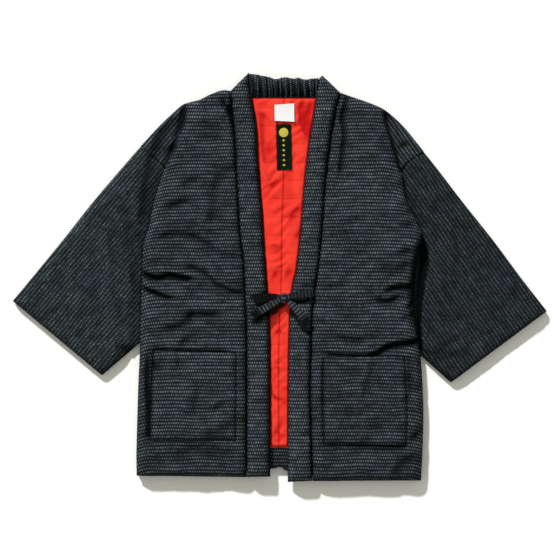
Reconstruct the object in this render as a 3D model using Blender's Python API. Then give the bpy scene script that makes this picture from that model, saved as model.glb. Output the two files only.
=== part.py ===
"""A padded hanten jacket, laid flat on its back with its fronts closed by a tie.

Tables and sizes are in millimetres, meshes in metres. X runs across the garment, Y from
the hem to the neck, Z up from the surface that it lies on. Left and right are as seen
from above. Every padded piece is a grid in plan whose outer points are raised by the
heights that the functions below give, over a plain underside.
"""

import math

import bmesh
import bpy
import numpy as np

MM = 0.001
GAP = 0.3  # between two pieces that meet

# Heights above the surface that the garment lies on
BACK_TOP = 12.0
LINING_LOW = 13.0
LINING_HIGH = 13.7
LABEL_THICK = 0.8
FRONT_UNDER = BACK_TOP + GAP
FRONT_EDGE = 16.0
FRONT_TOP = 30.0
WING_TOP = 20.0
POCKET_BED = 25.5
POCKET_EDGE = 1.6
POCKET_THICK = 4.6
SLEEVE_EDGE = 9.0
SLEEVE_TOP = 20.5
SLEEVE_TUCKED = BACK_TOP - 0.5
SLEEVE_HOLLOW = (5.6, 6.8)
COLLAR_UNDER = LINING_HIGH + GAP
COLLAR_EDGE = 17.5
COLLAR_TOP = 34.0
NECK_EDGE = 16.0
NECK_TOP = 27.0
STITCH_PITCH = 38.0  # rows of quilting on the lining

# Outlines in plan, as (x, y) rows
SHOULDER_LEFT = [(-102, 385), (-120, 386), (-145, 377), (-165, 367), (-197, 358),
                 (-213, 346), (-246, 315), (-275, 284), (-287, 271)]
SHOULDER_RIGHT = [(125, 381.5), (139, 376), (166, 367), (193, 357), (216, 346),
                  (240.5, 326), (261, 305), (278, 284), (297, 260)]
# Where the body's front rolls over on to the shoulder of the sleeve
FOLD_LEFT = [(-197, 358), (-207, 303), (-225, 254), (-235.5, 228)]
FOLD_RIGHT = [(216, 346), (217, 320), (233, 270), (246, 221)]
ARMHOLE_LEFT = [(-287, 271), (-259, 247), (-235.5, 228)]
ARMHOLE_RIGHT = [(297, 260), (273, 244), (246, 221)]
# The armhole seam goes on under the front's side and comes out where the sleeve ends
TUCKED_LEFT = [(-235.5, 228), (-231, 207), (-245, 157), (-257, 100), (-266, 74),
               (-269, 38), (-272, -40), (-275, -118), (-290, -136)]
TUCKED_RIGHT = [(246, 221), (240, 197), (249, 157), (267, 112), (277, 84),
                (269, 32), (263, -26), (267, -100), (277, -146), (293, -163)]
SIDE_LEFT = [(-235.5, 228), (-238.5, 220.5), (-259, 159), (-271, 102), (-280, 76),
             (-283, 39), (-289, -150), (-292.5, -233), (-296, -357), (-296, -410)]
SIDE_RIGHT = [(246, 221), (253, 199), (261, 161), (281, 114), (294, 84), (283, 32),
              (276, -26), (280, -103), (291, -171), (296, -254), (296, -316), (292, -420)]
SLEEVE_UPPER_LEFT = [(-287, 271), (-312, 243), (-383, 160), (-449, 77), (-517, -6), (-553, -49)]
SLEEVE_UPPER_RIGHT = [(297, 260), (327.5, 222), (375, 160), (441, 77), (503, -6), (553, -70)]
SLEEVE_LOWER_LEFT = [(-290, -136), (-368, -203)]
SLEEVE_LOWER_RIGHT = [(293, -163), (354, -218)]
COLLAR_OUTER_LEFT = [(-102, 385), (-97, 340), (-92, 278), (-83, 106), (-75, 38), (-70, -65),
                     (-68, -130), (-68, -413)]
COLLAR_INNER_LEFT = [(-64, 423), (-60, 381.5), (-49, 313), (-45.5, 244), (-37, 141), (-32, 55),
                     (-25, -24), (-19, -109), (-18, -254), (-18, -412)]
COLLAR_OUTER_RIGHT = [(125, 381.5), (112, 336), (96, 226), (90, 141), (81, 38), (71, -30),
                      (66, -86), (63.5, -150), (62.5, -254), (67, -421)]
COLLAR_INNER_RIGHT = [(88, 417), (79, 405), (73, 354), (61, 278), (51, 192), (44, 107), (35, 21),
                      (27, -30), (25, -109), (21, -254), (18, -423)]
NECK_RIM = [(-70, 420), (-52, 419), (-36, 416), (-21, 413), (-8.5, 409), (10, 413), (29, 410),
            (38, 412), (52, 408), (66, 410), (95, 412)]
NECK_SEAM = 371.5
NECK_LINE = 382.5  # top of the back panel between the shoulders
BACK_SEAM = [(8, 384), (8, 216), (4.3, 107), (2.5, -27), (-1.7, -130), (-1.7, -351), (1, -394.5)]
BACK_HEM_LEFT = [(1, -394.5), (-20, -397), (-68, -402), (-186, -408), (-296, -408)]
BACK_HEM_RIGHT = [(1, -394.5), (18, -403), (67, -410), (176, -416), (292, -417)]
FACING_TOP = -353.0
FACING_FOOT = -393.0

# Rows of the fronts' grids: y at the collar, y at the side, cells up to the next row.
# The pocket stands between its own two rows, its foot and its mouth.
ROWS_LEFT = [(-413, -410, 1), (-409, -406, 1), (-399, -396, 2), (-366, -364, 1), (-348, -347, 1),
             (-337, -337, 8), (-157, -150.5, 1), (-148, -141, 4), (-62, -45, 3), (-29, -4, 1),
             (-23, 2, 1), (-18, 7, 1), (-13, 12, 1), (-7, 18, 1), (10, 34, 2), (46, 66, 9)]
ROWS_RIGHT = [(-421, -420, 1), (-417, -416, 1), (-407, -406, 2), (-378, -378, 1), (-358, -361, 1),
              (-345, -350.5, 8), (-166, -163, 1), (-159, -152, 1), (-153, -141, 1), (-147, -130, 1),
              (-138, -118, 4), (-60, -40, 3), (0, 12, 2), (40, 50, 10)]
POCKET_ROWS_LEFT = (-337, -157)
POCKET_ROWS_RIGHT = (-345, -166)
POCKET_SHARE_LEFT = (0.105, 0.965)  # of the way from the collar seam to the roll's crest
POCKET_SHARE_RIGHT = (0.117, 0.935)
# Rims under the edge of a panel: height, inset
FRONT_RIM = [(13.4, 0.0), (FRONT_UNDER, 1.2)]
THIN_RIM = [(FRONT_UNDER, 0.0)]
BACK_RIM = [(7.5, -0.01), (2.6, 1.4), (0.0, 4.5)]
SLEEVE_RIM = [(0.55 * SLEEVE_EDGE, 0.4), (0.2 * SLEEVE_EDGE, 1.6), (0.0, 4.0)]

# How far in from each edge the padding rounds up to its full height
ROLL = 20.0
FOOT = 4.0  # the steep foot of that roll
HEM_ROLL = 18.0
SHOULDER_ROLL = 22.0
WING_ROLL = 18.0
SEAM_ROLL = 24.0
SLEEVE_ROLL = 26.0
CUFF_ROLL = 12.0
POCKET_ROLL = 26.0
COLLAR_INNER_ROLL = 13.0
COLLAR_OUTER_ROLL = 14.0
COLLAR_FOOT_ROLL = 12.0

# What is left of that height right at a seam that draws the padding down
AT_SEAM = 0.5
AT_FOLD = 0.10
AT_WING = 0.35
AT_CUFF = 0.5
AT_ARMHOLE = 0.75
AT_POCKET_STITCHES = 0.72

# Creases and soft troughs: piece, depth, half width, then the (x, y) points they run through
CREASES = [
    ("front_left", 6.5, 6, [(-283, 7), (-266, 1), (-211, -1), (-177, -6)]),
    ("front_left", 3.5, 6, [(-281, -20), (-254, -32), (-223, -41)]),
    ("front_left", 2.5, 14, [(-268, 84), (-210, 88), (-145, 85)]),
    ("front_left", 2.0, 12, [(-264, 141), (-200, 155), (-136, 166)]),
    ("front_left", 2.0, 16, [(-136, 210), (-134, 90), (-136, -30)]),
    ("front_left", 2.5, 9, [(-134, -14), (-101, -30)]),
    ("front_left", 5.0, 7, [(-122, 384), (-112, 360), (-103, 330)]),
    ("front_left", 3.5, 12, [(-207, 305), (-256, 252), (-281, 187)]),
    ("front_right", 5.5, 7, [(290, -130), (245, -134), (216, -146), (186, -160)]),
    ("front_right", 2.5, 9, [(218, -28), (274, -14)]),
    ("front_right", 3.0, 9, [(290, -322), (267, -345)]),
    ("front_right", 5.0, 7, [(139, 376), (134, 310), (129, 230)]),
    ("front_right", 2.0, 14, [(150, 180), (200, 150), (262, 140)]),
    ("front_right", 2.0, 16, [(150, 60), (158, -40), (150, -120)]),
    ("front_right", 2.5, 9, [(228, 322), (250, 292)]),
    ("sleeve_left", 3.5, 12, [(-256, 252), (-281, 187), (-294, 146), (-318, 100)]),
    ("sleeve_left", 2.5, 14, [(-330, 60), (-390, -20), (-440, -80)]),
    ("sleeve_left", 2.0, 12, [(-400, 100), (-450, 40), (-480, -10)]),
    ("sleeve_right", 3.5, 10, [(310, 60), (318, 0), (308, -60), (312, -120)]),
    ("sleeve_right", 2.5, 14, [(340, 120), (380, 50), (425, -30)]),
    ("sleeve_right", 2.0, 12, [(420, 60), (455, 5), (492, -60)]),
]

# Columns of the fronts' grids: cells to the pocket, over it and past it, then the roll
FRONT_SPANS = (3, 8, 1)
ROLL_SHARES = (0, 0.45, 0.8)
FOOT_SHARES = (0, 0.5, 1)

# Where the sleeves' grids have points: share of the way from the upper to the lower edge
SLEEVE_ACROSS = [0, 0.012, 0.036, 0.08, 0.15, 0.195, 0.25, 0.31, 0.38, 0.45, 0.52, 0.59, 0.68,
                 0.77, 0.86, 0.925, 0.965, 1]
SLEEVE_ALONG = [0, 0.025, 0.06, 0.1, 0.15, 0.21, 0.28, 0.36, 0.44, 0.52, 0.6, 0.68, 0.76, 0.84,
                0.91, 0.955, 0.985, 1]

# Ties: (x, y, clear height over the collar or height, width), from the root to the free end
TIE_THICK = 3.2
TIE_LEFT = [(-52, -50, 0.6, 16), (-40, -46, 0.6, 19), (-29, -43, 0.6, 20), (-18, -41, 31.0, 18),
            (-6, -40.5, 28.5, 13), (3, -41.5, 27.0, 9.5), (14, -43.5, 27.0, 9.5),
            (20, -50, 31.0, 15), (26, -57, 35.0, 19), (34, -66, 0.9, 22), (45, -79, 0.9, 24),
            (57, -96, 0.9, 24)]
TIE_RIGHT = [(68, -33, 0.9, 17), (56, -34, 0.9, 17), (43, -35.5, 0.9, 16), (30, -37, 37.5, 15),
             (18, -40, 32.5, 11), (9, -42.3, 31.0, 9.5), (0, -45, 31.5, 10),
             (-10, -52, 36.0, 14), (-24, -61, 38.5, 15), (-38, -69, 38.2, 16),
             (-56, -81, 37.8, 16)]
KNOT_CENTRE = (8.7, -42.6)
KNOT_WIDE = 9.0
KNOT_WALL = 2.6
KNOT_INSIDE = 16.6
KNOT_SLACK = 0.9
KNOT_TILT = -3.0  # degrees
# Section of the knot's band: share of its width, share of its wall
KNOT_SECTION = [(-0.5, 0.0), (-0.5, 0.6), (-0.32, 1.0), (0.32, 1.0), (0.5, 0.6), (0.5, 0.0)]

# Grids of the collars and the neck band: shares across, from the inner edge or the seam
COLLAR_SHARES = [0, 0.05, 0.16, 0.34, 0.6, 0.82, 0.94, 1]
NECK_SHARES = [0, 0.05, 0.2, 0.45, 0.7, 0.88, 1]
NECK_COLUMNS = 49
NECK_RIPPLE = 1.1
NECK_PEAKS = (419, 409)  # how high the band reaches at its left and right end
UNDER_COLLAR = 9.0  # how far the lining and the facing run in under the collar
TIE_DIP = (-60, 55, 0.10)  # where the ties draw the collar down: y, reach, share

# Lining: shares from the centre seam to the collar, and its height at each
LINING_SHARES = [0, 0.06, 0.35, 0.7, 1]
LINING_PUFF = [0.0, 0.75, 1.0, 1.0, 0.8]
AT_STITCHES = 0.15

# Section of a tie: shares across it, and its thickness at each
TIE_SHARES = [-0.5, -0.4, 0, 0.4, 0.5]
TIE_CROWN = [0.35, 0.85, 1.0, 0.85, 0.35]
ON_COLLAR = 5.0  # a tie's height below this is its clearance over the collar
TIE_CLEAR = 0.5

# Labels: centre x, y, width, length, tilt in degrees, lift of the free lower edge
LABEL_WHITE = (9.5, 340.0, 40.6, 35.6, 0.7, 2.0)
LABEL_DARK = (8.7, 269.0, 31.0, 94.0, 1.0, 0.3)

# Colours in linear light
NAVY = (0.030, 0.037, 0.045)
NAVY_DARK = (0.018, 0.022, 0.028)
RED = (0.80, 0.042, 0.022)
WHITE = (0.80, 0.80, 0.79)
GREEN_BLACK = (0.010, 0.018, 0.014)


def points_of(rows):
    return np.array(rows, float)


def smoothed(rows, step=8.0):
    """The rows joined by a Catmull-Rom curve, with a point about every step."""
    p = points_of(rows)
    if len(p) < 3:
        return p
    ends = np.vstack([2 * p[0] - p[1], p, 2 * p[-1] - p[-2]])
    curve = []
    for a, b, c, d in zip(ends, ends[1:], ends[2:], ends[3:]):
        count = max(2, int(round(math.dist(b, c) / step)))
        for t in np.arange(count) / count:
            curve.append(0.5 * (2 * b + (c - a) * t + (2 * a - 5 * b + 4 * c - d) * t * t
                                + (3 * b - a - 3 * c + d) * t ** 3))
    return np.array([*curve, p[-1]])


def lengths_of(line):
    return np.concatenate([[0], np.cumsum(np.linalg.norm(np.diff(line, axis=0), axis=1))])


def along(line, shares):
    """Points at the given shares of the line's length."""
    run = lengths_of(line)
    at = np.asarray(shares) * run[-1]
    return np.stack([np.interp(at, run, line[:, k]) for k in (0, 1)], axis=-1)


def at_height(line, y):
    """The point where a line that climbs or falls all the way passes y."""
    order = np.argsort(line[:, 1])
    return np.stack([np.interp(y, line[order, 1], line[order, 0]), np.asarray(y, float)], axis=-1)


def away(points, line):
    """Distance of each point in plan from a line."""
    line = line[np.append(True, np.diff(line, axis=0).any(axis=1))]
    a = line[:-1]
    ab = line[1:] - a
    offset = points[..., None, :] - a
    share = np.clip((offset * ab).sum(-1) / (ab * ab).sum(-1), 0, 1)
    return np.linalg.norm(offset - share[..., None] * ab, axis=-1).min(-1)


def swell(distance, radius):
    """0 at an edge, rounding up to 1 from the radius inwards."""
    q = np.clip(distance / radius, 0, 1)
    return np.sqrt(1 - (1 - q) ** 2)


def ease(value, low, high):
    q = np.clip((value - low) / (high - low), 0, 1)
    return q * q * (3 - 2 * q)


def crease_depth(name, points):
    depth = np.zeros(points.shape[:-1])
    for piece, deep, half_width, route in CREASES:
        if piece != name:
            continue
        line = smoothed(route)
        ends = np.minimum(np.linalg.norm(points - line[0], axis=-1),
                          np.linalg.norm(points - line[-1], axis=-1))
        taper = 0.35 + 0.65 * ease(ends, 0, 30)
        depth += deep * taper * np.exp(-((away(points, line) / half_width) ** 2))
    return depth


class Half:
    """The outlines of one side of the garment. sign is -1 on the left, 1 on the right."""

    def __init__(self, sign):
        left = sign < 0
        self.sign = sign
        self.name = "left" if left else "right"
        self.shoulder = smoothed(SHOULDER_LEFT if left else SHOULDER_RIGHT)
        self.fold = smoothed(FOLD_LEFT if left else FOLD_RIGHT)
        self.armhole = smoothed(ARMHOLE_LEFT if left else ARMHOLE_RIGHT)
        self.tucked = smoothed(TUCKED_LEFT if left else TUCKED_RIGHT, 14)
        self.side = smoothed(SIDE_LEFT if left else SIDE_RIGHT, 12)
        self.upper = smoothed(SLEEVE_UPPER_LEFT if left else SLEEVE_UPPER_RIGHT)
        self.lower = points_of(SLEEVE_LOWER_LEFT if left else SLEEVE_LOWER_RIGHT)
        self.collar_outer = smoothed(COLLAR_OUTER_LEFT if left else COLLAR_OUTER_RIGHT)
        self.collar_inner = smoothed(COLLAR_INNER_LEFT if left else COLLAR_INNER_RIGHT)
        self.hem = points_of(BACK_HEM_LEFT if left else BACK_HEM_RIGHT)
        self.rows = ROWS_LEFT if left else ROWS_RIGHT
        self.pocket_rows = POCKET_ROWS_LEFT if left else POCKET_ROWS_RIGHT
        self.pocket_share = POCKET_SHARE_LEFT if left else POCKET_SHARE_RIGHT
        self.cuff = np.array([self.upper[-1], self.lower[-1]])
        self.armhole_whole = np.vstack([self.armhole, self.tucked[1:]])


LEFT = Half(-1)
RIGHT = Half(1)


def clear_scene():
    for thing in list(bpy.data.objects):
        bpy.data.objects.remove(thing, do_unlink=True)


def cloth(name, colour):
    material = bpy.data.materials.new(name)
    material.use_nodes = True
    surface = material.node_tree.nodes["Principled BSDF"]
    surface.inputs["Base Color"].default_value = (*colour, 1)
    surface.inputs["Roughness"].default_value = 0.9
    surface.inputs["Metallic"].default_value = 0
    return material


def add_object(name, vertices, faces, colour):
    mesh = bpy.data.meshes.new(name)
    mesh.from_pydata([tuple(MM * float(c) for c in v) for v in vertices], [], faces)
    shape = bmesh.new()
    shape.from_mesh(mesh)
    bmesh.ops.recalc_face_normals(shape, faces=shape.faces)
    shape.to_mesh(mesh)
    shape.free()
    mesh.shade_smooth()
    mesh.set_sharp_from_angle(angle=math.radians(45))
    mesh.materials.append(cloth(name, colour))
    thing = bpy.data.objects.new(name, mesh)
    bpy.context.scene.collection.objects.link(thing)


def ring_of(rows, columns):
    """The indices round the edge of a grid, in order."""
    last = (rows - 1) * columns
    return [*range(columns),
            *range(2 * columns - 1, last, columns),
            *range(last + columns - 1, last - 1, -1),
            *range(last - columns, 0, -columns)]


def inset(loop, distance):
    """A closed loop of plan points moved inwards by the distance."""
    before = loop - np.roll(loop, 1, axis=0)
    after = np.roll(loop, -1, axis=0) - loop
    before /= np.linalg.norm(before, axis=1)[:, None]
    after /= np.linalg.norm(after, axis=1)[:, None]
    x, y = loop[:, 0], loop[:, 1]
    turn = 1 if (x * np.roll(y, -1) - y * np.roll(x, -1)).sum() > 0 else -1
    both = before + after
    normal = turn * np.stack([-both[:, 1], both[:, 0]], axis=1)
    size = np.linalg.norm(normal, axis=1)[:, None]
    normal /= np.where(size > 1e-6, size, 1)
    widen = np.clip(1 / np.maximum(size / 2, 0.5), 1, 1.6)
    return loop + distance * widen * normal


def grid_faces(rows, columns, start=0):
    return [(start + r * columns + c, start + r * columns + c + 1,
             start + (r + 1) * columns + c + 1, start + (r + 1) * columns + c)
            for r in range(rows - 1) for c in range(columns - 1)]


def bridge(first, second):
    """Quads between two rings with as many points."""
    count = len(first)
    return [(first[i], first[(i + 1) % count], second[(i + 1) % count], second[i])
            for i in range(count)]


def padded_panel(name, plan, top, under, colour, rim=()):
    """A closed panel: a grid of top points over one flat polygon at the height under, or over a
    grid of under points. rim has (height, inset) rows for the edge above the underside."""
    rows, columns = plan.shape[:2]
    flat = plan.reshape(-1, 2)
    vertices = [(*p, z) for p, z in zip(flat, top.reshape(-1))]
    faces = grid_faces(rows, columns)
    ring = ring_of(rows, columns)
    loop = flat[ring]
    for height, distance in rim:
        start = len(vertices)
        vertices += [(*p, height) for p in inset(loop, distance)]
        level = list(range(start, len(vertices)))
        faces += bridge(ring, level)
        ring = level
    if np.ndim(under):
        start = len(vertices)
        vertices += [(*p, z) for p, z in zip(flat, under.reshape(-1))]
        faces += [f[::-1] for f in grid_faces(rows, columns, start)]
        faces += bridge(ring, [start + i for i in ring_of(rows, columns)])
    else:
        faces.append(ring[::-1])
    add_object(name, vertices, faces, colour)


def flat_panel(name, outline, top, colour, rim):
    """A closed panel from an outline in plan, with a flat top and a flat underside."""
    vertices = [(*p, top) for p in outline]
    ring = list(range(len(outline)))
    faces = [tuple(ring)]
    for height, distance in rim:
        start = len(vertices)
        vertices += [(*p, height) for p in inset(outline, distance)]
        level = list(range(start, len(vertices)))
        faces += bridge(ring, level)
        ring = level
    faces.append(ring[::-1])
    add_object(name, vertices, faces, colour)


def front_rows(half):
    """For each row of a front's grid: its y at the collar, and its point on the outer edge,
    which is the side up to the end of the armhole seam and then that seam."""
    inner = []
    outer_y = []
    for (y_in, y_out, cells), (next_in, next_out, _) in zip(half.rows, half.rows[1:]):
        for share in np.arange(cells) / cells:
            inner.append(y_in + share * (next_in - y_in))
            outer_y.append(y_out + share * (next_out - y_out))
    outer = list(at_height(half.side, outer_y))
    start_in, start_out, cells = half.rows[-1]
    rising = half.side[half.side[:, 1] > start_out][::-1]
    climb = np.vstack([at_height(half.side, start_out), rising, half.armhole[::-1][1:]])
    run = lengths_of(climb)
    turn = run[len(rising)] / run[-1]
    top_y = half.collar_outer[0][1]
    wing_cells = cells - int(round(cells * turn))
    shares = [*np.linspace(0, turn, cells - wing_cells + 1)[:-1],
              *np.linspace(turn, 1, 2 * wing_cells + 1)]
    for share in shares:
        inner.append(start_in + share * (top_y - start_in))
        outer.append(along(climb, share))
    wing = [max(0.0, (share - turn) / (1 - turn)) for share in shares]
    wing = [0.0] * (len(inner) - len(wing)) + wing
    return np.array(inner), np.array(outer), np.array(wing)


def front_plan(half):
    """The grid of a front in plan, with the column numbers of the pocket's two edges."""
    inner_y, outer, wing = front_rows(half)
    inner = at_height(half.collar_outer, inner_y)
    inner[:, 0] += half.sign * 2 * GAP
    outer[:, 0] -= half.sign * GAP * (wing > 0)
    inward = inner - outer
    inward /= np.linalg.norm(inward, axis=1)[:, None]
    foot = outer + FOOT * inward
    fold = along(half.fold[::-1], np.clip(wing, 0, 1))
    on_wing = wing > 0
    foot[on_wing] = fold[on_wing] + (1 - wing[on_wing, None]) * FOOT * inward[on_wing]
    crest = foot + (ROLL - FOOT) * inward
    pocket_in, pocket_out = half.pocket_share
    before, over, past = FRONT_SPANS
    spans = [(0.0, pocket_in, before), (pocket_in, pocket_out, over), (pocket_out, 1.0, past)]
    columns = [inner + share * (crest - inner)
               for low, high, cells in spans
               for share in np.linspace(low, high, cells + 1)[:-1]]
    columns += [crest + share * (foot - crest) for share in ROLL_SHARES]
    columns += [foot + share * (outer - foot) for share in FOOT_SHARES]
    plan = np.stack(columns, axis=1)
    straight = plan[-1]
    shoulder = half.shoulder
    shares = lengths_of(straight) / lengths_of(straight)[-1]
    foot_at = len(columns) - len(FOOT_SHARES)
    fold_share = lengths_of(shoulder)[np.argmin(np.linalg.norm(shoulder - half.fold[0], axis=1))]
    fold_share /= lengths_of(shoulder)[-1]
    mapped = np.where(shares <= shares[foot_at], shares / shares[foot_at] * fold_share,
                      fold_share + (shares - shares[foot_at]) / (1 - shares[foot_at])
                      * (1 - fold_share))
    wanted = along(shoulder, mapped)
    wanted[0, 0] += half.sign * 2 * GAP
    blend = ease(inner_y, half.rows[-1][0], inner_y[-1]) ** 2
    plan = plan + blend[:, None, None] * (wanted - straight)
    return plan, (before, before + over)


def front_height(half, points):
    """Height of the top of a front: full in the middle, rounding off at its edges, low on
    the wing outside the fold, and sunk along its creases and under the pocket."""
    name = "front_" + half.name
    hem = np.array([at_height(half.collar_outer, half.rows[0][0]), half.side[-1]])
    edge = swell(away(points, half.side), ROLL) * swell(away(points, hem), HEM_ROLL)
    edge *= swell(away(points, half.shoulder), SHOULDER_ROLL)
    seam = AT_SEAM + (1 - AT_SEAM) * swell(away(points, half.collar_outer), SEAM_ROLL)
    body = FRONT_EDGE + (FRONT_TOP - FRONT_EDGE) * edge * seam
    fold_x = at_height(half.fold, points[..., 1])[..., 0]
    outside = half.sign * (points[..., 0] - fold_x) > -0.01
    outside &= points[..., 1] > half.fold[-1][1] - 1
    to_fold = away(points, half.fold)
    low = FRONT_EDGE + AT_FOLD * (FRONT_TOP - FRONT_EDGE)
    near_fold = points[..., 1] > half.fold[-1][1] - 30
    roll = np.where(near_fold, swell(to_fold, ROLL - FOOT), 1)
    body = np.minimum(body, low + (FRONT_TOP - low) * roll)
    rise = swell(away(points, half.shoulder), WING_ROLL)
    rise *= AT_WING + (1 - AT_WING) * ease(to_fold, 0, ROLL - FOOT)
    wing = FRONT_EDGE + (WING_TOP - FRONT_EDGE) * rise
    height = np.where(outside, wing, body)
    return np.maximum(height - crease_depth(name, points), FRONT_UNDER + 2)


def front(half):
    """A front with its pocket, which is made from the front's own points moved out."""
    name = "front_" + half.name
    plan, (first, last) = front_plan(half)
    top = front_height(half, plan)
    inner_y = plan[:, 0, 1]
    foot = int(np.argmin(np.abs(inner_y - half.pocket_rows[0])))
    mouth = int(np.argmin(np.abs(inner_y - half.pocket_rows[1])))
    bed = slice(foot, mouth + 1), slice(first, last + 1)
    top[bed] = np.minimum(top[bed], POCKET_BED)
    padded_panel(name, plan, top, FRONT_UNDER, NAVY, FRONT_RIM)
    spot = plan[bed]
    ring = np.array([*spot[0], *spot[:, -1], *spot[-1][::-1], *spot[:, 0][::-1]])
    stitched = np.vstack([spot[-1, 0][None], spot[:, 0][::-1], spot[0], spot[:, -1]])
    puff = AT_POCKET_STITCHES + (1 - AT_POCKET_STITCHES) * swell(away(spot, ring), CUFF_ROLL)
    puff *= swell(away(spot, stitched), POCKET_ROLL)
    over = top[bed] + GAP + POCKET_EDGE + (POCKET_THICK - POCKET_EDGE) * puff
    padded_panel("pocket_" + half.name, spot, over, top[bed] + GAP, NAVY)


def sleeve_plan(half):
    """The grid of a sleeve in plan, from the armhole to the cuff and across from the upper
    to the lower edge."""
    across = np.array(SLEEVE_ACROSS)
    seam = along(half.armhole_whole, across)
    seam[:, 0] += half.sign * GAP
    upper = along(half.upper, SLEEVE_ALONG)
    lower = along(half.lower, SLEEVE_ALONG)
    plan = upper[:, None] + across[None, :, None] * (lower - upper)[:, None]
    hold = (1 - np.array(SLEEVE_ALONG)) ** 2
    return plan + hold[:, None, None] * (seam - plan[0])


def sleeve_height(half, points):
    """Height of the top of a sleeve: low where it is tucked under the front's side."""
    rise = swell(away(points, half.upper), SLEEVE_ROLL) * swell(away(points, half.lower), SLEEVE_ROLL)
    rise *= AT_CUFF + (1 - AT_CUFF) * swell(away(points, half.cuff), CUFF_ROLL)
    rise *= AT_ARMHOLE + (1 - AT_ARMHOLE) * ease(away(points, half.armhole), 0, 10)
    full = SLEEVE_EDGE + (SLEEVE_TOP - SLEEVE_EDGE) * rise
    full -= crease_depth("sleeve_" + half.name, points)
    side_x = at_height(half.side, np.clip(points[..., 1], None, half.side[0][1]))[..., 0]
    out = half.sign * (points[..., 0] - side_x) > 0
    clear = np.where(out | (points[..., 1] > half.side[0][1]), away(points, half.side), 0)
    free = ease(clear, 6, 28)
    return np.minimum(full, SLEEVE_TUCKED) * (1 - free) + full * free


def sleeve(half):
    """A flattened tube: a padded wall round a thin hollow, open at the armhole and cuff."""
    plan = sleeve_plan(half)
    top = sleeve_height(half, plan)
    rows, columns = plan.shape[:2]
    vertices = [(*p, z) for p, z in zip(plan.reshape(-1, 2), top.reshape(-1))]
    faces = grid_faces(rows, columns)

    def add(points):
        start = len(vertices)
        vertices.extend(points)
        return list(range(start, len(vertices)))

    def edge_points(column, height, distance):
        inward = plan[:, column + 1 if column == 0 else column - 1] - plan[:, column]
        inward /= np.linalg.norm(inward, axis=1)[:, None]
        return [(*p, height) for p in plan[:, column] + distance * inward]

    first_edge = [[r * columns for r in range(rows)]]
    last_edge = [[r * columns + columns - 1 for r in range(rows)]]
    for height, distance in SLEEVE_RIM:
        first_edge.append(add(edge_points(0, height, distance)))
        last_edge.append(add(edge_points(columns - 1, height, distance)))
    for edge, flip in ((first_edge, 1), (last_edge, -1)):
        for upper_row, lower_row in zip(edge, edge[1:]):
            for r in range(rows - 1):
                faces.append((upper_row[r], upper_row[r + 1], lower_row[r + 1], lower_row[r])[::flip])

    armhole_foot = [first_edge[-1][0], *add([(*p, 0) for p in plan[0, 1:-1]]), last_edge[-1][0]]
    cuff_foot = [first_edge[-1][-1], *add([(*p, 0) for p in plan[-1, 1:-1]]), last_edge[-1][-1]]
    faces.append((*armhole_foot, *last_edge[-1][1:-1], *cuff_foot[::-1],
                  *first_edge[-1][1:-1][::-1]))

    floor_z, ceiling_z = SLEEVE_HOLLOW
    hollow = {}
    for end, row in (("armhole", 0), ("cuff", rows - 1)):
        line = plan[row, 1:-1]
        hollow[end, "ceiling"] = add([(*p, ceiling_z) for p in line])
        hollow[end, "floor"] = add([(*p, floor_z) for p in line])
    for level in ("ceiling", "floor"):
        faces.append((*hollow["armhole", level], *hollow["cuff", level][::-1]))
    for side in (0, -1):
        faces.append((hollow["armhole", "ceiling"][side], hollow["cuff", "ceiling"][side],
                      hollow["cuff", "floor"][side], hollow["armhole", "floor"][side]))
    for end, row, foot in (("armhole", 0, armhole_foot), ("cuff", rows - 1, cuff_foot)):
        crown = [row * columns + c for c in range(columns)]
        ceiling = hollow[end, "ceiling"]
        floor = hollow[end, "floor"]
        for c in range(1, columns - 2):
            faces.append((crown[c], crown[c + 1], ceiling[c], ceiling[c - 1]))
            faces.append((foot[c], foot[c + 1], floor[c], floor[c - 1]))
        for edge, k, side in ((first_edge, 0, 0), (last_edge, columns - 1, -1)):
            beside = 1 if k == 0 else columns - 2
            chain = [level[0 if row == 0 else -1] for level in edge]
            faces.append((crown[beside], *chain, foot[beside], floor[side], ceiling[side]))
    add_object("sleeve_" + half.name, vertices, faces, NAVY)


def back(half):
    """One half of the back, from the centre seam to the side, the armhole and the shoulder."""
    seam = smoothed(BACK_SEAM, 24)
    seam = seam[seam[:, 1] < NECK_LINE]
    seam = np.vstack([at_height(smoothed(BACK_SEAM), NECK_LINE), seam])
    seam = seam + [half.sign * GAP, 0]
    armhole = along(half.armhole_whole, SLEEVE_ACROSS) - [half.sign * GAP, 0]
    shoulder = along(half.shoulder, np.linspace(0.03, 1, 16))[:-1]
    below = half.side[half.side[:, 1] < armhole[-1][1] - 6]
    below = below[below[:, 1] > half.hem[-1][1] + 6]
    hem = along(half.hem, np.linspace(0, 1, 12))
    neck = [half.shoulder[0, 0] - 2 * half.sign, min(NECK_LINE, half.shoulder[0, 1] - 0.5)]
    outline = np.vstack([neck, shoulder, armhole, below, hem[::-1][:-1], seam[::-1][1:]])
    flat_panel("back_" + half.name, outline, BACK_TOP, NAVY, BACK_RIM)


def lining(half):
    """One half of the red lining that shows between the collars, quilted in rows."""
    top_y = NECK_SEAM + 5
    count = int((top_y - FACING_TOP) / STITCH_PITCH * 2)
    heights = top_y - np.arange(count + 1) * STITCH_PITCH / 2
    heights[-1] = FACING_TOP + GAP
    seam = at_height(smoothed(BACK_SEAM), heights) + [half.sign * GAP / 2, 0]
    under = at_height(half.collar_inner, heights) + [half.sign * UNDER_COLLAR, 0]
    plan = seam[:, None] + np.array(LINING_SHARES)[:, None] * (under - seam)[:, None]
    row = np.where(np.arange(count + 1) % 2 == 1, 1.0, AT_STITCHES)[:, None]
    top = LINING_LOW + (LINING_HIGH - LINING_LOW) * np.array(LINING_PUFF) * row
    padded_panel("lining_" + half.name, plan, top, FRONT_UNDER, RED, THIN_RIM)


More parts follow.
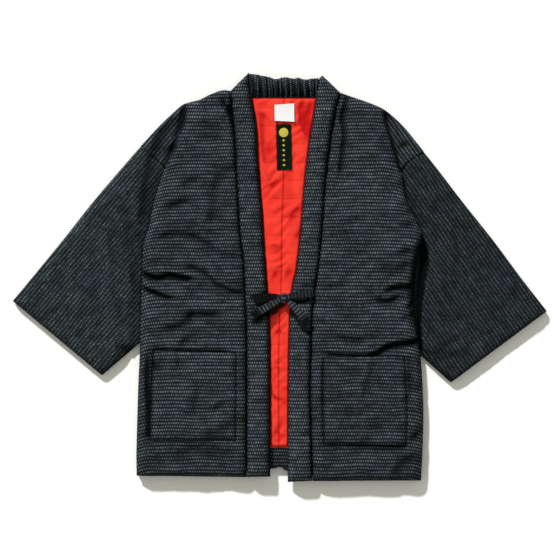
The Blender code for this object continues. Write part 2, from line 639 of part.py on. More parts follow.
def hem_facing():
    """The outer cloth turned up inside the back's hem."""
    shares = np.linspace(0, 1, 7)
    rows = []
    for y in (FACING_TOP, 0.5 * (FACING_TOP + FACING_FOOT), FACING_FOOT):
        low = at_height(LEFT.collar_inner, y) - [UNDER_COLLAR, 0]
        high = at_height(RIGHT.collar_inner, y) + [UNDER_COLLAR, 0]
        rows.append(low + shares[:, None] * (high - low))
    plan = np.array(rows)
    top = np.full(plan.shape[:2], LINING_LOW)
    top[1] = LINING_HIGH
    padded_panel("back_hem_facing", plan, top, FRONT_UNDER, NAVY_DARK, THIN_RIM)


def collar_under(points):
    """Underside of the collar: on the lining, and down to the surface past the neck line."""
    return COLLAR_UNDER * (1 - ease(points[..., 1], NECK_LINE + 4, NECK_LINE + 20))


def collar_height(half, points):
    foot = np.array([half.collar_inner[-1], half.collar_outer[-1]])
    peak = np.array([half.collar_inner[0], half.collar_outer[0]])
    rise = swell(away(points, half.collar_inner), COLLAR_INNER_ROLL)
    rise *= AT_SEAM + (1 - AT_SEAM) * swell(away(points, half.collar_outer), COLLAR_OUTER_ROLL)
    rise *= swell(away(points, foot), COLLAR_FOOT_ROLL) * swell(away(points, peak), COLLAR_OUTER_ROLL)
    tie_y, reach, share = TIE_DIP
    rise *= 1 - share * np.exp(-(((points[..., 1] - tie_y) / reach) ** 2))
    return COLLAR_EDGE + (COLLAR_TOP - COLLAR_EDGE) * rise


def collar_run(half):
    """The collar band along one front, from the hem to the peak beside the neck."""
    top_y = half.collar_outer[0][1]
    foot_y = half.collar_outer[-1][1]
    steps = np.concatenate([[0, 0.006, 0.02], np.linspace(0.045, 0.925, 30), np.linspace(0.94, 1, 9)])
    outer = at_height(half.collar_outer, foot_y + steps * (top_y - foot_y))
    inner_foot = half.collar_inner[-1][1]
    inner_top = half.collar_inner[0][1]
    inner = at_height(half.collar_inner, inner_foot + steps * (inner_top - inner_foot))
    plan = inner[:, None] + np.array(COLLAR_SHARES)[:, None] * (outer - inner)[:, None]
    padded_panel("collar_" + half.name, plan, collar_height(half, plan), collar_under(plan), NAVY)


def collar_neck():
    """The collar behind the neck, its inner face gathered into uneven ripples."""
    rim = smoothed(NECK_RIM)
    order = np.argsort(rim[:, 0])
    heights = np.array(NECK_SHARES)
    peak_left, peak_right = NECK_PEAKS
    plan = []
    for share in heights:
        y_left = NECK_SEAM + share * (peak_left - NECK_SEAM)
        y_right = NECK_SEAM + share * (peak_right - NECK_SEAM)
        low = at_height(LEFT.collar_inner, y_left)[0] + GAP + 0.1
        high = at_height(RIGHT.collar_inner, y_right)[0] - GAP - 0.1
        x = np.linspace(low, high, NECK_COLUMNS)
        top_y = np.interp(x, rim[order, 0], rim[order, 1])
        plan.append(np.stack([x, NECK_SEAM + share * (top_y - NECK_SEAM)], axis=1))
    plan = np.array(plan)
    x = plan[..., 0]
    # Ripples 12 mm apart that drift along the band, with finer ones on them
    wave = np.sin(x * 0.52 + 1.2 * np.sin(x * 0.07)) + 0.45 * np.sin(x * 0.83 + 0.9)
    lean = ease(heights, -0.1, 0.8) * (0.55 + 0.45 * swell(1 - heights, 0.25))
    ends = ease(np.minimum(x - x[:, :1], x[:, -1:] - x), -3, 6)
    top = NECK_EDGE + (NECK_TOP - NECK_EDGE) * lean[:, None]
    top = top + NECK_RIPPLE * wave * ends * np.minimum(1, 5 * heights * (1.15 - heights))[:, None]
    padded_panel("collar_neck", plan, top, collar_under(plan), NAVY)


def collar_top(x, y):
    """Height of whatever collar lies at a point, or nothing."""
    point = np.array([x, y])
    heights = []
    for half in (LEFT, RIGHT):
        inner = at_height(half.collar_inner, y)[0]
        outer = at_height(half.collar_outer, y)[0]
        if min(inner, outer) <= x <= max(inner, outer):
            heights.append(float(collar_height(half, point)))
    return max(heights, default=0.0)


def ribbon(name, route, colour):
    """A flat tie of one width after another, laid over the collar or held over the opening."""
    table = points_of(route)
    dense = smoothed([(row[0], row[1]) for row in table], 5)
    run = lengths_of(dense)
    knots = [run[np.argmin(np.linalg.norm(dense - row[:2], axis=1))] for row in table]
    width = np.interp(run, knots, table[:, 3])
    tangent = np.gradient(dense, axis=0)
    tangent /= np.linalg.norm(tangent, axis=1)[:, None]
    side = np.stack([-tangent[:, 1], tangent[:, 0]], axis=1)
    on_cloth = table[:, 2] < ON_COLLAR
    levels = [max(collar_top(x, y), collar_top(x + 4, y), collar_top(x - 4, y)) + clear + TIE_CLEAR
              if on else clear
              for (x, y, clear, _), on in zip(table, on_cloth)]
    level = np.interp(run, knots, levels)
    plan = dense[:, None] + np.array(TIE_SHARES)[:, None] * (width[:, None] * side)[:, None]
    under = np.repeat(level[:, None], len(TIE_SHARES), axis=1)
    top = under + TIE_THICK * np.array(TIE_CROWN)
    padded_panel(name, plan, top, under, colour)


def knot():
    """The band of cloth wrapped round both ties where they cross."""
    low = TIE_LEFT[5][2] - KNOT_SLACK
    high = TIE_RIGHT[5][2] + TIE_THICK + KNOT_SLACK
    count = 20
    tilt = math.radians(KNOT_TILT)
    vertices = []
    for along_band, wall in KNOT_SECTION:
        shift = along_band * KNOT_WIDE
        for step in range(count):
            angle = 2 * math.pi * step / count
            square = (abs(math.cos(angle)) ** 4 + abs(math.sin(angle)) ** 4) ** -0.25
            across = (0.5 * KNOT_INSIDE + wall * KNOT_WALL) * square * math.cos(angle)
            rise = (0.5 * (high - low) + wall * KNOT_WALL) * square * math.sin(angle)
            vertices.append((KNOT_CENTRE[0] + shift * math.cos(tilt) - across * math.sin(tilt),
                             KNOT_CENTRE[1] + shift * math.sin(tilt) + across * math.cos(tilt),
                             0.5 * (high + low) + rise))
    rings = [list(range(k * count, (k + 1) * count)) for k in range(len(KNOT_SECTION))]
    faces = []
    for first, second in zip(rings, rings[1:] + rings[:1]):
        faces += bridge(first, second)
    add_object("tie_knot", vertices, faces, NAVY)


def label(name, sizes, colour):
    x, y, width, length, tilt, lift = sizes
    turn = math.radians(tilt)
    axes = np.array([[math.cos(turn), math.sin(turn)], [-math.sin(turn), math.cos(turn)]])
    across = np.linspace(-0.5, 0.5, 4) * width
    down = np.linspace(0.5, -0.5, 7) * length
    local = np.stack(np.meshgrid(across, down), axis=-1)
    plan = local @ axes + [x, y]
    fall = (0.5 - local[..., 1] / length) ** 2
    under = LINING_HIGH + GAP + lift * fall
    padded_panel(name, plan, under + LABEL_THICK, under, colour)


def build():
    clear_scene()
    for half in (LEFT, RIGHT):
        back(half)
        lining(half)
        front(half)
        sleeve(half)
        collar_run(half)
    hem_facing()
    collar_neck()
    ribbon("tie_left", TIE_LEFT, NAVY)
    ribbon("tie_right", TIE_RIGHT, NAVY)
    knot()
    label("label_white", LABEL_WHITE, WHITE)
    label("label_dark", LABEL_DARK, GREEN_BLACK)


build()
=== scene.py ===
"""Cloth, stitching, labels and light for the hanten jacket laid flat.

Tables and sizes are in millimetres, meshes in metres. X runs across the garment, Y from
the hem to the neck, Z up from the surface that it lies on. Left and right are as seen
from above. Each piece is a finer form of one CAD node: a grid in plan whose outer points
are raised by the heights that the functions give, with its creases placed one by one.
"""

import math

import bmesh
import bpy
import numpy as np
from mathutils import Matrix, Vector


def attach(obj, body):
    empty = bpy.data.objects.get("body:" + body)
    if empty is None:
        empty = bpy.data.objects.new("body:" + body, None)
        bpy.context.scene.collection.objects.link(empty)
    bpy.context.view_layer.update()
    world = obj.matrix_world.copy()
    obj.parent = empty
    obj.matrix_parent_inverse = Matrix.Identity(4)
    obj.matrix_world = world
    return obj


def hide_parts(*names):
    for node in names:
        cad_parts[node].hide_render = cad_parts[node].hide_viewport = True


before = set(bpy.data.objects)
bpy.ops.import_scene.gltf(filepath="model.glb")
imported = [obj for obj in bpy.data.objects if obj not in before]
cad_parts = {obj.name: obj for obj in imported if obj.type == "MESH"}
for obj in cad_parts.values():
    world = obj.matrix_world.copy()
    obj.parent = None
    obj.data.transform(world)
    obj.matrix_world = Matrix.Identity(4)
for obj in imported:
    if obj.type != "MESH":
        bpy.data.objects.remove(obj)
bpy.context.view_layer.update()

MM = 0.001
GAP = 0.3  # between two pieces that meet

# Heights above the surface that the garment lies on
BACK_TOP = 12.0
LINING_LOW = 13.0
LINING_HIGH = 13.7
LABEL_THICK = 0.8
FRONT_UNDER = BACK_TOP + GAP
FRONT_EDGE = 16.0
FRONT_TOP = 30.0
WING_TOP = 20.0
POCKET_SUNK = 2.6
POCKET_EDGE = 1.6
POCKET_THICK = 4.6
SLEEVE_EDGE = 9.0
SLEEVE_TOP = 20.5
SLEEVE_TUCKED = BACK_TOP - 0.5
SLEEVE_HOLLOW = (5.6, 6.8)
COLLAR_UNDER = LINING_HIGH + GAP
COLLAR_EDGE = 17.5
COLLAR_TOP = 34.0
NECK_EDGE = 16.0
NECK_TOP = 27.0
STITCH_PITCH = 37.7  # rows of quilting on the lining
STITCH_FROM = 11.5
LINING_PUFF = 0.8
LINING_RISE = 3.4  # towards the collars, which lie on its edges
LABEL_BED = 18.0

# Outlines in plan, as (x, y) rows
SHOULDER_LEFT = [(-102, 385), (-120, 386), (-145, 377), (-165, 367), (-197, 358),
                 (-213, 346), (-246, 315), (-275, 284), (-287, 271)]
SHOULDER_RIGHT = [(125, 381.5), (139, 376), (166, 367), (193, 357), (216, 346),
                  (240.5, 326), (261, 305), (278, 284), (297, 260)]
# Where the body's front rolls over on to the shoulder of the sleeve
FOLD_LEFT = [(-197, 358), (-207, 303), (-225, 254), (-235.5, 228)]
FOLD_RIGHT = [(216, 346), (217, 320), (233, 270), (246, 221)]
ARMHOLE_LEFT = [(-287, 271), (-259, 247), (-235.5, 228)]
ARMHOLE_RIGHT = [(297, 260), (273, 244), (246, 221)]
# The armhole seam goes on under the front's side and comes out where the sleeve ends
TUCKED_LEFT = [(-235.5, 228), (-231, 207), (-245, 157), (-257, 100), (-266, 74),
               (-269, 38), (-272, -40), (-275, -118), (-290, -136)]
TUCKED_RIGHT = [(246, 221), (240, 197), (249, 157), (267, 112), (277, 84),
                (269, 32), (263, -26), (267, -100), (277, -146), (293, -163)]
SIDE_LEFT = [(-235.5, 228), (-238.5, 220.5), (-259, 159), (-271, 102), (-280, 76),
             (-283, 39), (-289, -150), (-292.5, -233), (-296, -357), (-296, -410)]
SIDE_RIGHT = [(246, 221), (253, 199), (261, 161), (281, 114), (294, 84), (283, 32),
              (276, -26), (280, -103), (291, -171), (296, -254), (296, -316), (292, -420)]
SLEEVE_UPPER_LEFT = [(-287, 271), (-312, 243), (-383, 160), (-449, 77), (-517, -6), (-553, -49)]
SLEEVE_UPPER_RIGHT = [(297, 260), (327.5, 222), (375, 160), (441, 77), (503, -6), (553, -70)]
SLEEVE_LOWER_LEFT = [(-290, -136), (-368, -203)]
SLEEVE_LOWER_RIGHT = [(293, -163), (354, -218)]
COLLAR_OUTER_LEFT = [(-102, 385), (-97, 340), (-92, 278), (-83, 106), (-75, 38), (-70, -65),
                     (-68, -130), (-68, -413)]
COLLAR_INNER_LEFT = [(-64, 423), (-60, 381.5), (-49, 313), (-45.5, 244), (-37, 141), (-32, 55),
                     (-26, -24), (-21, -109), (-20, -254), (-19.5, -412)]
COLLAR_OUTER_RIGHT = [(125, 381.5), (112, 336), (96, 226), (90, 141), (81, 38), (71, -30),
                      (66, -86), (63.5, -150), (62.5, -254), (67, -421)]
COLLAR_INNER_RIGHT = [(88, 417), (79, 405), (73, 354), (61, 278), (51, 192), (44, 107), (35, 21),
                      (25, -30), (20, -109), (17.5, -254), (16.5, -423)]
NECK_RIM = [(-70, 420), (-52, 419), (-36, 416), (-21, 413), (-8.5, 409), (10, 413), (29, 410),
            (38, 412), (52, 408), (66, 410), (95, 412)]
NECK_SEAM = 371.5
NECK_LINE = 382.5  # top of the back panel between the shoulders
BACK_SEAM = [(8, 384), (8, 216), (4.3, 107), (2.5, -27), (-1.7, -130), (-1.7, -351), (1, -394.5)]
BACK_HEM_LEFT = [(1, -394.5), (-20, -397), (-68, -402), (-186, -408), (-296, -408)]
BACK_HEM_RIGHT = [(1, -394.5), (18, -403), (67, -410), (176, -416), (292, -417)]
FACING_TOP = -353.0
FACING_FOOT = -393.0

# Rows of the fronts' grids: y at the collar, y at the side, cells up to the next row.
# The pocket stands between its own two rows, its foot and its mouth.
ROWS_LEFT = [(-413, -410, 1), (-409, -406, 1), (-399, -396, 2), (-366, -364, 1), (-348, -347, 1),
             (-337, -337, 8), (-157, -150.5, 1), (-148, -141, 4), (-62, -45, 3), (-29, -4, 1),
             (-23, 2, 1), (-18, 7, 1), (-13, 12, 1), (-7, 18, 1), (10, 34, 2), (46, 66, 9)]
ROWS_RIGHT = [(-421, -420, 1), (-417, -416, 1), (-407, -406, 2), (-378, -378, 1), (-358, -361, 1),
              (-345, -350.5, 8), (-166, -163, 1), (-159, -152, 1), (-153, -141, 1), (-147, -130, 1),
              (-138, -118, 4), (-60, -40, 3), (0, 12, 2), (40, 50, 10)]
POCKET_ROWS_LEFT = (-337, -157)
POCKET_ROWS_RIGHT = (-345, -166)
POCKET_SHARE_LEFT = (0.105, 0.965)  # of the way from the collar seam to the roll's crest
POCKET_SHARE_RIGHT = (0.117, 0.935)
FOOT = 4.0
FINE = 5  # cells of the scene's grids for each cell of the solids' grids
COLLAR_CELLS = 2 * FINE  # from the collar seam to the pocket
POCKET_CELLS = 8 * FINE
ROLL_CELLS = 6
WING_COLUMNS = 20

# How far in from its edges a padded piece has its full height
ROLL = 20.0  # of a front at its side
HEM_ROLL = 14.0
SEAM_ROLL = 22.0  # of a front at the collar and the shoulder
FOLD_ROLL = 16.0
WING_ROLL = 18.0
SLEEVE_ROLL = 26.0
CUFF_ROLL = 12.0
BANK_ROLL = 12.0  # of the right sleeve beside the gap
POCKET_ROLL = 26.0
POCKET_LIP = 12.0
COLLAR_ROLL_IN = 17.0
COLLAR_ROLL_OUT = 13.0
COLLAR_ROLL_FOOT = 12.0
COLLAR_ROLL_PEAK = 14.0

# Share of the full height that is left at an edge
SEAM_LOW = 0.36
FOLD_LOW = 0.10
WING_LOW = 0.35
CUFF_LOW = 0.5
ARMHOLE_LOW = 0.75
POCKET_LOW = 0.72

# Heights and places of single edges
BANK_LOW = 15.0  # height of the right sleeve at the gap
BANK_RISE = 5.5  # away from it
FOLD_RUNS_ON = 30.0  # past the fold's lower end
WRAP_FROM = -380.0  # above this y the side of a front wraps round the back

# Rims as (height, inset) rows from the top down. FRONT_WRAP is added where a front wraps round.
THIN_RIM = [(FRONT_UNDER, 0.0)]
FRONT_RIM = [(FRONT_EDGE - 1.2, 0.0), (FRONT_UNDER + 0.6, 0.0), (FRONT_UNDER, 0.9)]
FRONT_WRAP = [(0.0, -0.5), (-2.0, -0.6), (-3.2, -1.1)]
BACK_RIM = [(11.0, 0.75), (8.5, 0.15), (6.0, 0.0), (3.6, 0.6), (1.4, 2.0), (0.3, 3.8), (0.0, 5.5)]
BACK_TOP_INSET = 1.2
SLEEVE_RIM_IN = 4.0
SLEEVE_RIM_TURNS = (22, 45, 68, 90)  # degrees
HOLLOW_SHARE = 0.985  # of the sleeve's outline

# Creases and soft troughs by piece: depth, half width, then the (x, y) points they run through.
# The side towards the light is the steeper one, where the cloth above bulges over the crease.
CREASES = {
    "front_left": [
        (4.2, 5, [(-242, 143), (-223, 150), (-202, 155), (-176, 160)]),
        (4.6, 5, [(-252, 81), (-231, 89), (-198, 91), (-169, 84), (-151, 73)]),
        (3.0, 7, [(-155, 75), (-128, 57), (-103, 48), (-78, 50)]),
        (9.0, 5, [(-287, 13), (-273, 5), (-252, 1), (-227, 5), (-198, 0), (-176, -4)]),
        (4.2, 5, [(-200, 28), (-173, 18), (-151, 6), (-128, -14), (-103, -26), (-70, -37)]),
        (7.0, 4, [(-287, -14), (-275, -24), (-256, -31), (-240, -38), (-215, -43)]),
        (2.5, 5, [(-283, 32), (-260, 33), (-236, 36)]),
        (4.0, 6, [(-207, 187), (-186, 199), (-161, 208)]),
        (3.0, 10, [(-126, 230), (-130, 201), (-138, 168), (-142, 135), (-138, 102)]),
        (3.0, 6, [(-132, 224), (-107, 228), (-87, 226)]),
        (4.5, 6, [(-198, -82), (-178, -75), (-149, -76), (-120, -72)]),
        (4.0, 7, [(-186, -72), (-196, -93), (-217, -103), (-242, -99)]),
        (3.5, 6, [(-180, -119), (-198, -132), (-211, -150)]),
        (2.5, 8, [(-182, -26), (-159, -18), (-136, -20)]),
        (2.5, 8, [(-136, 32), (-128, 11), (-126, -10)]),
        (3.4, 4, [(-269, -148), (-217, -150), (-165, -152), (-100, -153)]),
        (5.0, 6, [(-273, -155), (-275, -202), (-274, -237), (-271, -279), (-273, -339)]),
        (2.0, 14, [(-169, 315), (-140, 309), (-111, 301)]),
        (5.0, 5, [(-124, 375), (-111, 353), (-101, 330), (-93, 305)]),
        (5.0, 6, [(-198, 359), (-202, 334), (-205, 305)]),
        (4.0, 10, [(-211, 332), (-236, 307), (-254, 280), (-262, 247), (-273, 218)]),
        (3.0, 6, [(-211, 286), (-221, 270), (-229, 251)]),
        (2.0, 12, [(-238, 114), (-196, 110), (-155, 114)]),
        (2.0, 10, [(-99, -109), (-134, -101), (-155, -109)]),
        (2.0, 12, [(-227, -368), (-165, -353), (-99, -362)]),
    ],
    "pocket_left": [
        (3.0, 6, [(-205, -157), (-211, -175), (-213, -194)]),
        (3.0, 8, [(-267, -167), (-256, -184), (-254, -204)]),
        (3.5, 5, [(-144, -277), (-128, -266), (-113, -254)]),
        (2.0, 8, [(-169, -219), (-176, -254), (-180, -287)]),
        (2.5, 9, [(-155, -331), (-124, -318), (-97, -293)]),
    ],
    "front_right": [
        (5.0, 5, [(141, 384), (133, 355), (127, 328), (130, 306), (132, 288), (128, 259), (125, 232),
         (122, 206)]),
        (4.0, 4, [(257, 129), (267, 139), (278, 148)]),
        (2.5, 6, [(241, 94), (259, 104), (278, 117)]),
        (3.5, 7, [(234, 48), (253, 52), (278, 61)]),
        (3.0, 7, [(199, 19), (224, 13), (249, 19), (274, 32)]),
        (8.0, 5, [(214, -32), (230, -22), (253, -18), (284, -18)]),
        (5.5, 5, [(191, -41), (212, -48), (232, -45), (251, -37)]),
        (4.0, 4, [(257, -68), (272, -53), (286, -43)]),
        (3.0, 6, [(245, -93), (265, -80), (288, -68)]),
        (10.0, 5, [(178, -163), (201, -155), (220, -143), (245, -137), (270, -133), (296, -124)]),
        (3.5, 6, [(120, -122), (145, -129), (183, -130)]),
        (2.5, 6, [(87, -22), (112, -18), (137, -8)]),
        (4.5, 5, [(87, -157), (125, -160), (162, -162), (191, -163)]),
        (3.0, 5, [(265, -159), (267, -196), (267, -229), (257, -266)]),
        (3.0, 5, [(274, -225), (286, -225), (301, -229)]),
        (4.0, 6, [(263, -339), (276, -329), (292, -312)]),
        (3.5, 9, [(232, -420), (241, -395), (261, -378), (290, -362)]),
        (3.5, 5, [(91, -343), (145, -346), (199, -349), (245, -349), (265, -343)]),
        (2.0, 5, [(87, -175), (88, -254), (89, -329)]),
        (4.5, 5, [(212, 341), (224, 333), (236, 324)]),
        (3.0, 5, [(243, 264), (257, 272), (267, 278)]),
        (2.0, 10, [(145, 330), (166, 338), (191, 330)]),
        (2.0, 8, [(209, 284), (220, 264), (228, 232)]),
        (2.0, 12, [(125, 98), (145, 67), (149, 32)]),
        (2.0, 12, [(104, -59), (135, -68), (176, -72)]),
    ],
    "pocket_right": [
        (2.5, 7, [(191, -165), (185, -198), (176, -225), (172, -254)]),
        (2.5, 8, [(125, -275), (139, -271), (154, -277)]),
        (3.0, 6, [(183, -310), (201, -308), (220, -300)]),
    ],
    "sleeve_left": [
        (6.0, 8, [(-252, 272), (-268, 243), (-277, 201), (-283, 160), (-287, 114)]),
        (3.0, 8, [(-323, 152), (-316, 110), (-310, 77), (-307, 40), (-304, 3), (-294, -47)]),
        (2.5, 8, [(-347, 114), (-349, 77), (-347, 44), (-343, 11)]),
        (3.0, 8, [(-341, -43), (-333, -72), (-318, -105)]),
        (4.0, 7, [(-335, -134), (-314, -150), (-289, -146)]),
        (1.5, 12, [(-451, 57), (-434, 32), (-443, 3)]),
        (1.5, 12, [(-517, -26), (-488, -47), (-455, -84)]),
        (1.5, 14, [(-414, -88), (-393, -47), (-372, -26)]),
    ],
    "sleeve_right": [
        (2.5, 9, [(363, 114), (365, 69), (368, 23), (367, -10), (363, -43)]),
        (2.0, 10, [(332, -39), (338, -84), (344, -134)]),
        (3.5, 8, [(298, -150), (323, -155), (348, -142), (377, -122)]),
        (1.5, 10, [(327, 69), (334, 48), (340, 19)]),
        (1.5, 14, [(435, -26), (466, -47), (497, -57)]),
        (1.8, 5, [(317, -175), (344, -167), (394, -140), (456, -99)]),
    ],
    "collar_left": [
        (6.0, 5, [(-50, -42), (-38, -52), (-22, -58)]),
        (3.0, 6, [(-70, -60), (-56, -64), (-40, -74)]),
    ],
    "collar_right": [
        (6.0, 5, [(66, -43), (52, -47), (38, -50)]),
        (3.0, 6, [(50, -12), (60, -20), (72, -22)]),
    ],
    "lining": [
        (1.0, 4, [(-31, 184), (-22, 190), (-8, 196), (2, 196)]),
        (1.2, 5, [(47, 369), (42, 345), (45, 318), (56, 290)]),
        (1.0, 5, [(65, 369), (58, 346), (54, 326), (57, 300)]),
        (0.8, 5, [(18, 110), (26, 130), (44, 153)]),
        (0.8, 5, [(28, 74), (36, 88), (45, 104)]),
        (0.7, 5, [(-50, 340), (-34, 336), (-22, 322)]),
        (0.7, 5, [(-22, 248), (-24, 262), (-20, 280)]),
        (0.9, 5, [(-19, -8), (-10, 8), (-2, 20)]),
        (0.8, 5, [(6, -4), (16, 8), (20, 24)]),
        (0.9, 3, [(-16, -190), (-6, -186), (4, -190)]),
        (0.9, 3, [(4, -234), (12, -228), (20, -222)]),
        (0.7, 3, [(-4, 355), (-6, 320), (-5, 280), (-3, 240)]),
        (0.6, 4, [(-40, 330), (-38, 300), (-35, 262), (-30, 230)]),
        (0.8, 3, [(34, 26), (44, 44), (53, 53)]),
        (0.7, 4, [(-24, 60), (-12, 66), (4, 62)]),
        (0.9, 3, [(-17, -234), (-8, -248), (3, -252)]),
        (0.8, 3, [(3, -264), (10, -256), (15, -250)]),
        (0.8, 3, [(-14, -330), (-6, -320), (5, -326)]),
        (0.8, 3, [(-16, -124), (-4, -112), (12, -118)]),
    ],
}
FRONT_CREASES = 1.3  # how much deeper these creases are cut than the table says
POCKET_CREASES = 1.4
STEEP_SIDE = 0.75  # of the half width
GENTLE_SIDE = 1.9
LIGHT_FROM = (-0.45, 0.89)  # in plan

# The near edge of the right sleeve's cloth beside the body, with a deep gap before it
GAP_RIGHT = [(290, 98), (294, 90), (302, 71), (308, 46), (306, 15), (301, -12), (296, -41), (293, -78),
             (294, -119), (297, -152)]
GAP_FLOOR = 3.6

# Where the sleeves' grids have points: share of the way from the upper to the lower edge
SLEEVE_ACROSS = [0, 0.012, 0.036, 0.08, 0.15, 0.195, 0.25, 0.31, 0.38, 0.45, 0.52, 0.59, 0.68,
                 0.77, 0.86, 0.925, 0.965, 1]
SLEEVE_ALONG = [0, 0.025, 0.06, 0.1, 0.15, 0.21, 0.28, 0.36, 0.44, 0.52, 0.6, 0.68, 0.76, 0.84,
                0.91, 0.955, 0.985]
SLEEVE_TURN = {-1: 50.5, 1: 55.4}  # degrees that a sleeve points down from level
# Lip of the cuff: inset from the cuff, share of the way from the hollow to the outside
CUFF_LIP = [(2.2, 1.0), (1.0, 0.95), (0.25, 0.8), (0.0, 0.5), (0.4, 0.16), (2.0, 0.0), (60.0, 0.0)]

# Ties: (x, y, clear height over the collar or height, width), from the root to the free end
TIE_THICK = 3.2
TIE_LEFT = [(-52, -50, 0.6, 15), (-40, -46, 0.6, 17), (-29, -43, 0.6, 18), (-18, -41, 27.0, 16),
            (-6, -40.5, 25.5, 12), (3, -41.5, 25.0, 9.5), (14, -43.5, 25.0, 9.5),
            (20, -50, 27.5, 13), (26, -57, 31.0, 15), (34, -66, 0.9, 16), (45, -79, 0.9, 17),
            (59, -98, 0.9, 17)]
TIE_RIGHT = [(68, -33, 0.9, 17), (56, -34, 0.9, 17), (43, -35.5, 0.9, 16), (30, -37, 37.5, 15),
             (18, -40, 31.0, 11), (9, -42.3, 29.0, 9.5), (0, -46, 29.0, 10),
             (-11, -53.5, 28.5, 13), (-24, -60, 33.0, 15), (-38, -68, 38.5, 16),
             (-56, -81, 39.0, 16)]
# How dark each tie is at its root and its free end, which lie in shade
TIE_SHADE = {"tie_left": (0.97, 0.97), "tie_right": (0.55, 0.97)}
# Where the ties' tails keep the light off the cloth below them
TIE_SHADOW = [("lining", 1.0, 8, [(-30, -68), (-14, -62), (5, -54)]),
              ("lining", 0.8, 6, [(-30, -82), (-20, -77), (-8, -69)]),
              ("left", 1.0, 7, [(-53, -91), (-42, -85), (-30, -75), (-18, -66)]),
              ("left", 0.9, 6, [(-58, -42), (-42, -36), (-28, -33)]),
              ("right", 0.95, 4, [(20, -52), (42, -50), (60, -46)]),
              ("right", 0.95, 5, [(24, -72), (38, -90), (50, -108), (64, -116)])]
KNOT_CENTRE = (8.7, -42.6)
KNOT_WIDE = 9.0
KNOT_WALL = 2.6
KNOT_INSIDE = 16.6
KNOT_SLACK = 0.9
KNOT_TILT = -3.0  # degrees
KNOT_BED = 3.4  # how far the lining is drawn up under the knot

# Labels: centre x, y, width, length, tilt in degrees, lift of the free lower edge
LABEL_WHITE = (9.5, 340.0, 40.6, 35.6, 0.7, 2.0)
LABEL_DARK = (8.7, 269.0, 31.0, 94.0, 1.0, 0.3)
LABEL_FLARE = {"label_white": 0.07, "label_dark": 0.0}  # how much longer the right side is

LABEL_COLUMNS = 19
LABEL_ROWS = 31
# Gold marks in the label's own directions: y of the disc and the top diamond, half sizes
DISC_Y = 30.0
DISC_SIZE = (9.6, 9.6)
DIAMOND_Y = 13.6
DIAMOND_PITCH = 10.2
DIAMOND_SIZE = (3.2, 2.6)

# Points of the collar's grids: shares up from the hem, across the band and up the neck
COLLAR_FOOT = [0, 0.006, 0.02, 0.045]
COLLAR_PEAK = 0.94
COLLAR_ACROSS = [0, 0.05, 0.16, 0.34, 0.6, 0.82, 0.94, 1]
NECK_UP = [0, 0.05, 0.2, 0.45, 0.7, 0.88, 1]
NECK_COLUMNS = 241
NECK_TOP_LEFT = 419
NECK_TOP_RIGHT = 409
TIED_AT = -60.0  # where the ties press the collars down
TIE_HALF = [0.1, 0.2, 0.3, 0.4, 0.46, 0.49, 0.5]  # shares of a tie's width from its middle
THINNEST = 1.5  # least thickness of the collar
UNDER_COLLAR = 9.0  # how far the lining and the facing run on under the collars
NECK_TUCK = 5.0  # how far the lining runs on under the neck

# The lining's steps down to flat: beside the collars, the facing and the neck
OPEN_STEP = 14.0
FACING_STEP = 8.0
NECK_STEP = 12.0
LINING_FINE = (420, 40)  # points along and across

# The knot's sections: share of its width from the middle, share of its wall
KNOT_SECTIONS = [(-0.5, 0.0), (-0.51, 0.3), (-0.47, 0.65), (-0.38, 0.92), (-0.22, 1.0),
                 (-0.08, 0.86), (0.05, 0.9), (0.2, 1.0), (0.36, 0.94), (0.46, 0.68), (0.51, 0.3),
                 (0.5, 0.0)]
KNOT_POINTS = 96

# Dips along seams, and painted shade at seams, edges, folds and gaps, as depth and reach.
# The painted shade runs from 0 to 1.
SEAM_DIP = (4.5, 3.0)
BAND_DIP = (4.0, 2.6)
ARMHOLE_DIP = (1.6, 1.6)
STITCH_DIP = (1.3, 1.6)
TIED_DIP = (0.10, 55.0)
KNOT_RISE = (KNOT_BED, 17.0)
STITCH_LINE = 4.0  # from a pocket's edge
SEAM_DARK = 0.9
FRONT_SEAM_REACH = (3.2, 2.6)  # low down, and how much wider beside the neck
BAND_SEAM_REACH = (2.8, 2.6)
HEM_DARK = (0.6, 4.0)
FRONT_ARMHOLE_DARK = {-1: (0.3, 1.2), 1: (0.6, 1.2)}
SLEEVE_ARMHOLE_DARK = (0.3, 1.2)
FOLD_DARK = {-1: (0.6, 7.0), 1: (1.0, 4.0)}
FOLD_LINE = 2.0  # outwards of the fold
WING_DARK = {-1: 0.0, 1: 0.15}
WAIST_DARK = 0.16  # painted shade of the fronts below the waist
GAP_DARK = (1.0, 12.0)
POCKET_EDGE_DARK = (0.95, 1.8)
STITCH_DARK = (0.35, 2.2)
CUFF_DARK = (0.85, 3.5)
TUCKED_DARK = 0.45
UNDERARM_DARK = (0.5, 4.0)
COLLAR_INNER_DARK = {-1: (0.85, 6.0), 1: (0.5, 2.5)}
LINING_SEAM_DARK = (0.95, 1.3)
QUILTING_DARK = (0.4, 0.10)  # reach as a share of the puff between two rows
# Depth of a crease whose painted shade is full
FRONT_CREASE_DARK = 7.0
SLEEVE_CREASE_DARK = 8.0
POCKET_CREASE_DARK = 6.0
COLLAR_CREASE_DARK = 8.0

# Seeds of the unevenness, by side
FRONT_SEED = {-1: 10, 1: 20}
SLEEVE_SEED = {-1: 40, 1: 50}
COLLAR_SEED = {-1: 80, 1: 90}

# Light and camera
SUN_HEIGHT = 31.0  # degrees above the surface
SUN_STRENGTH = 5.0
SUN_WIDTH = 4.0  # degrees
SKY = (1.0, 0.985, 0.87, 1)
SKY_STRENGTH = 0.56
FLOOR_HALF = 6.0  # metres
CAMERA_AT = (0.0004, -0.0056, 4.0)
CLOTH_LEVEL = 0.010  # metres, the height at which the picture's scale holds
SENSOR = 36.0
PICTURE = 560  # pixels
MM_A_PIXEL = 2.07

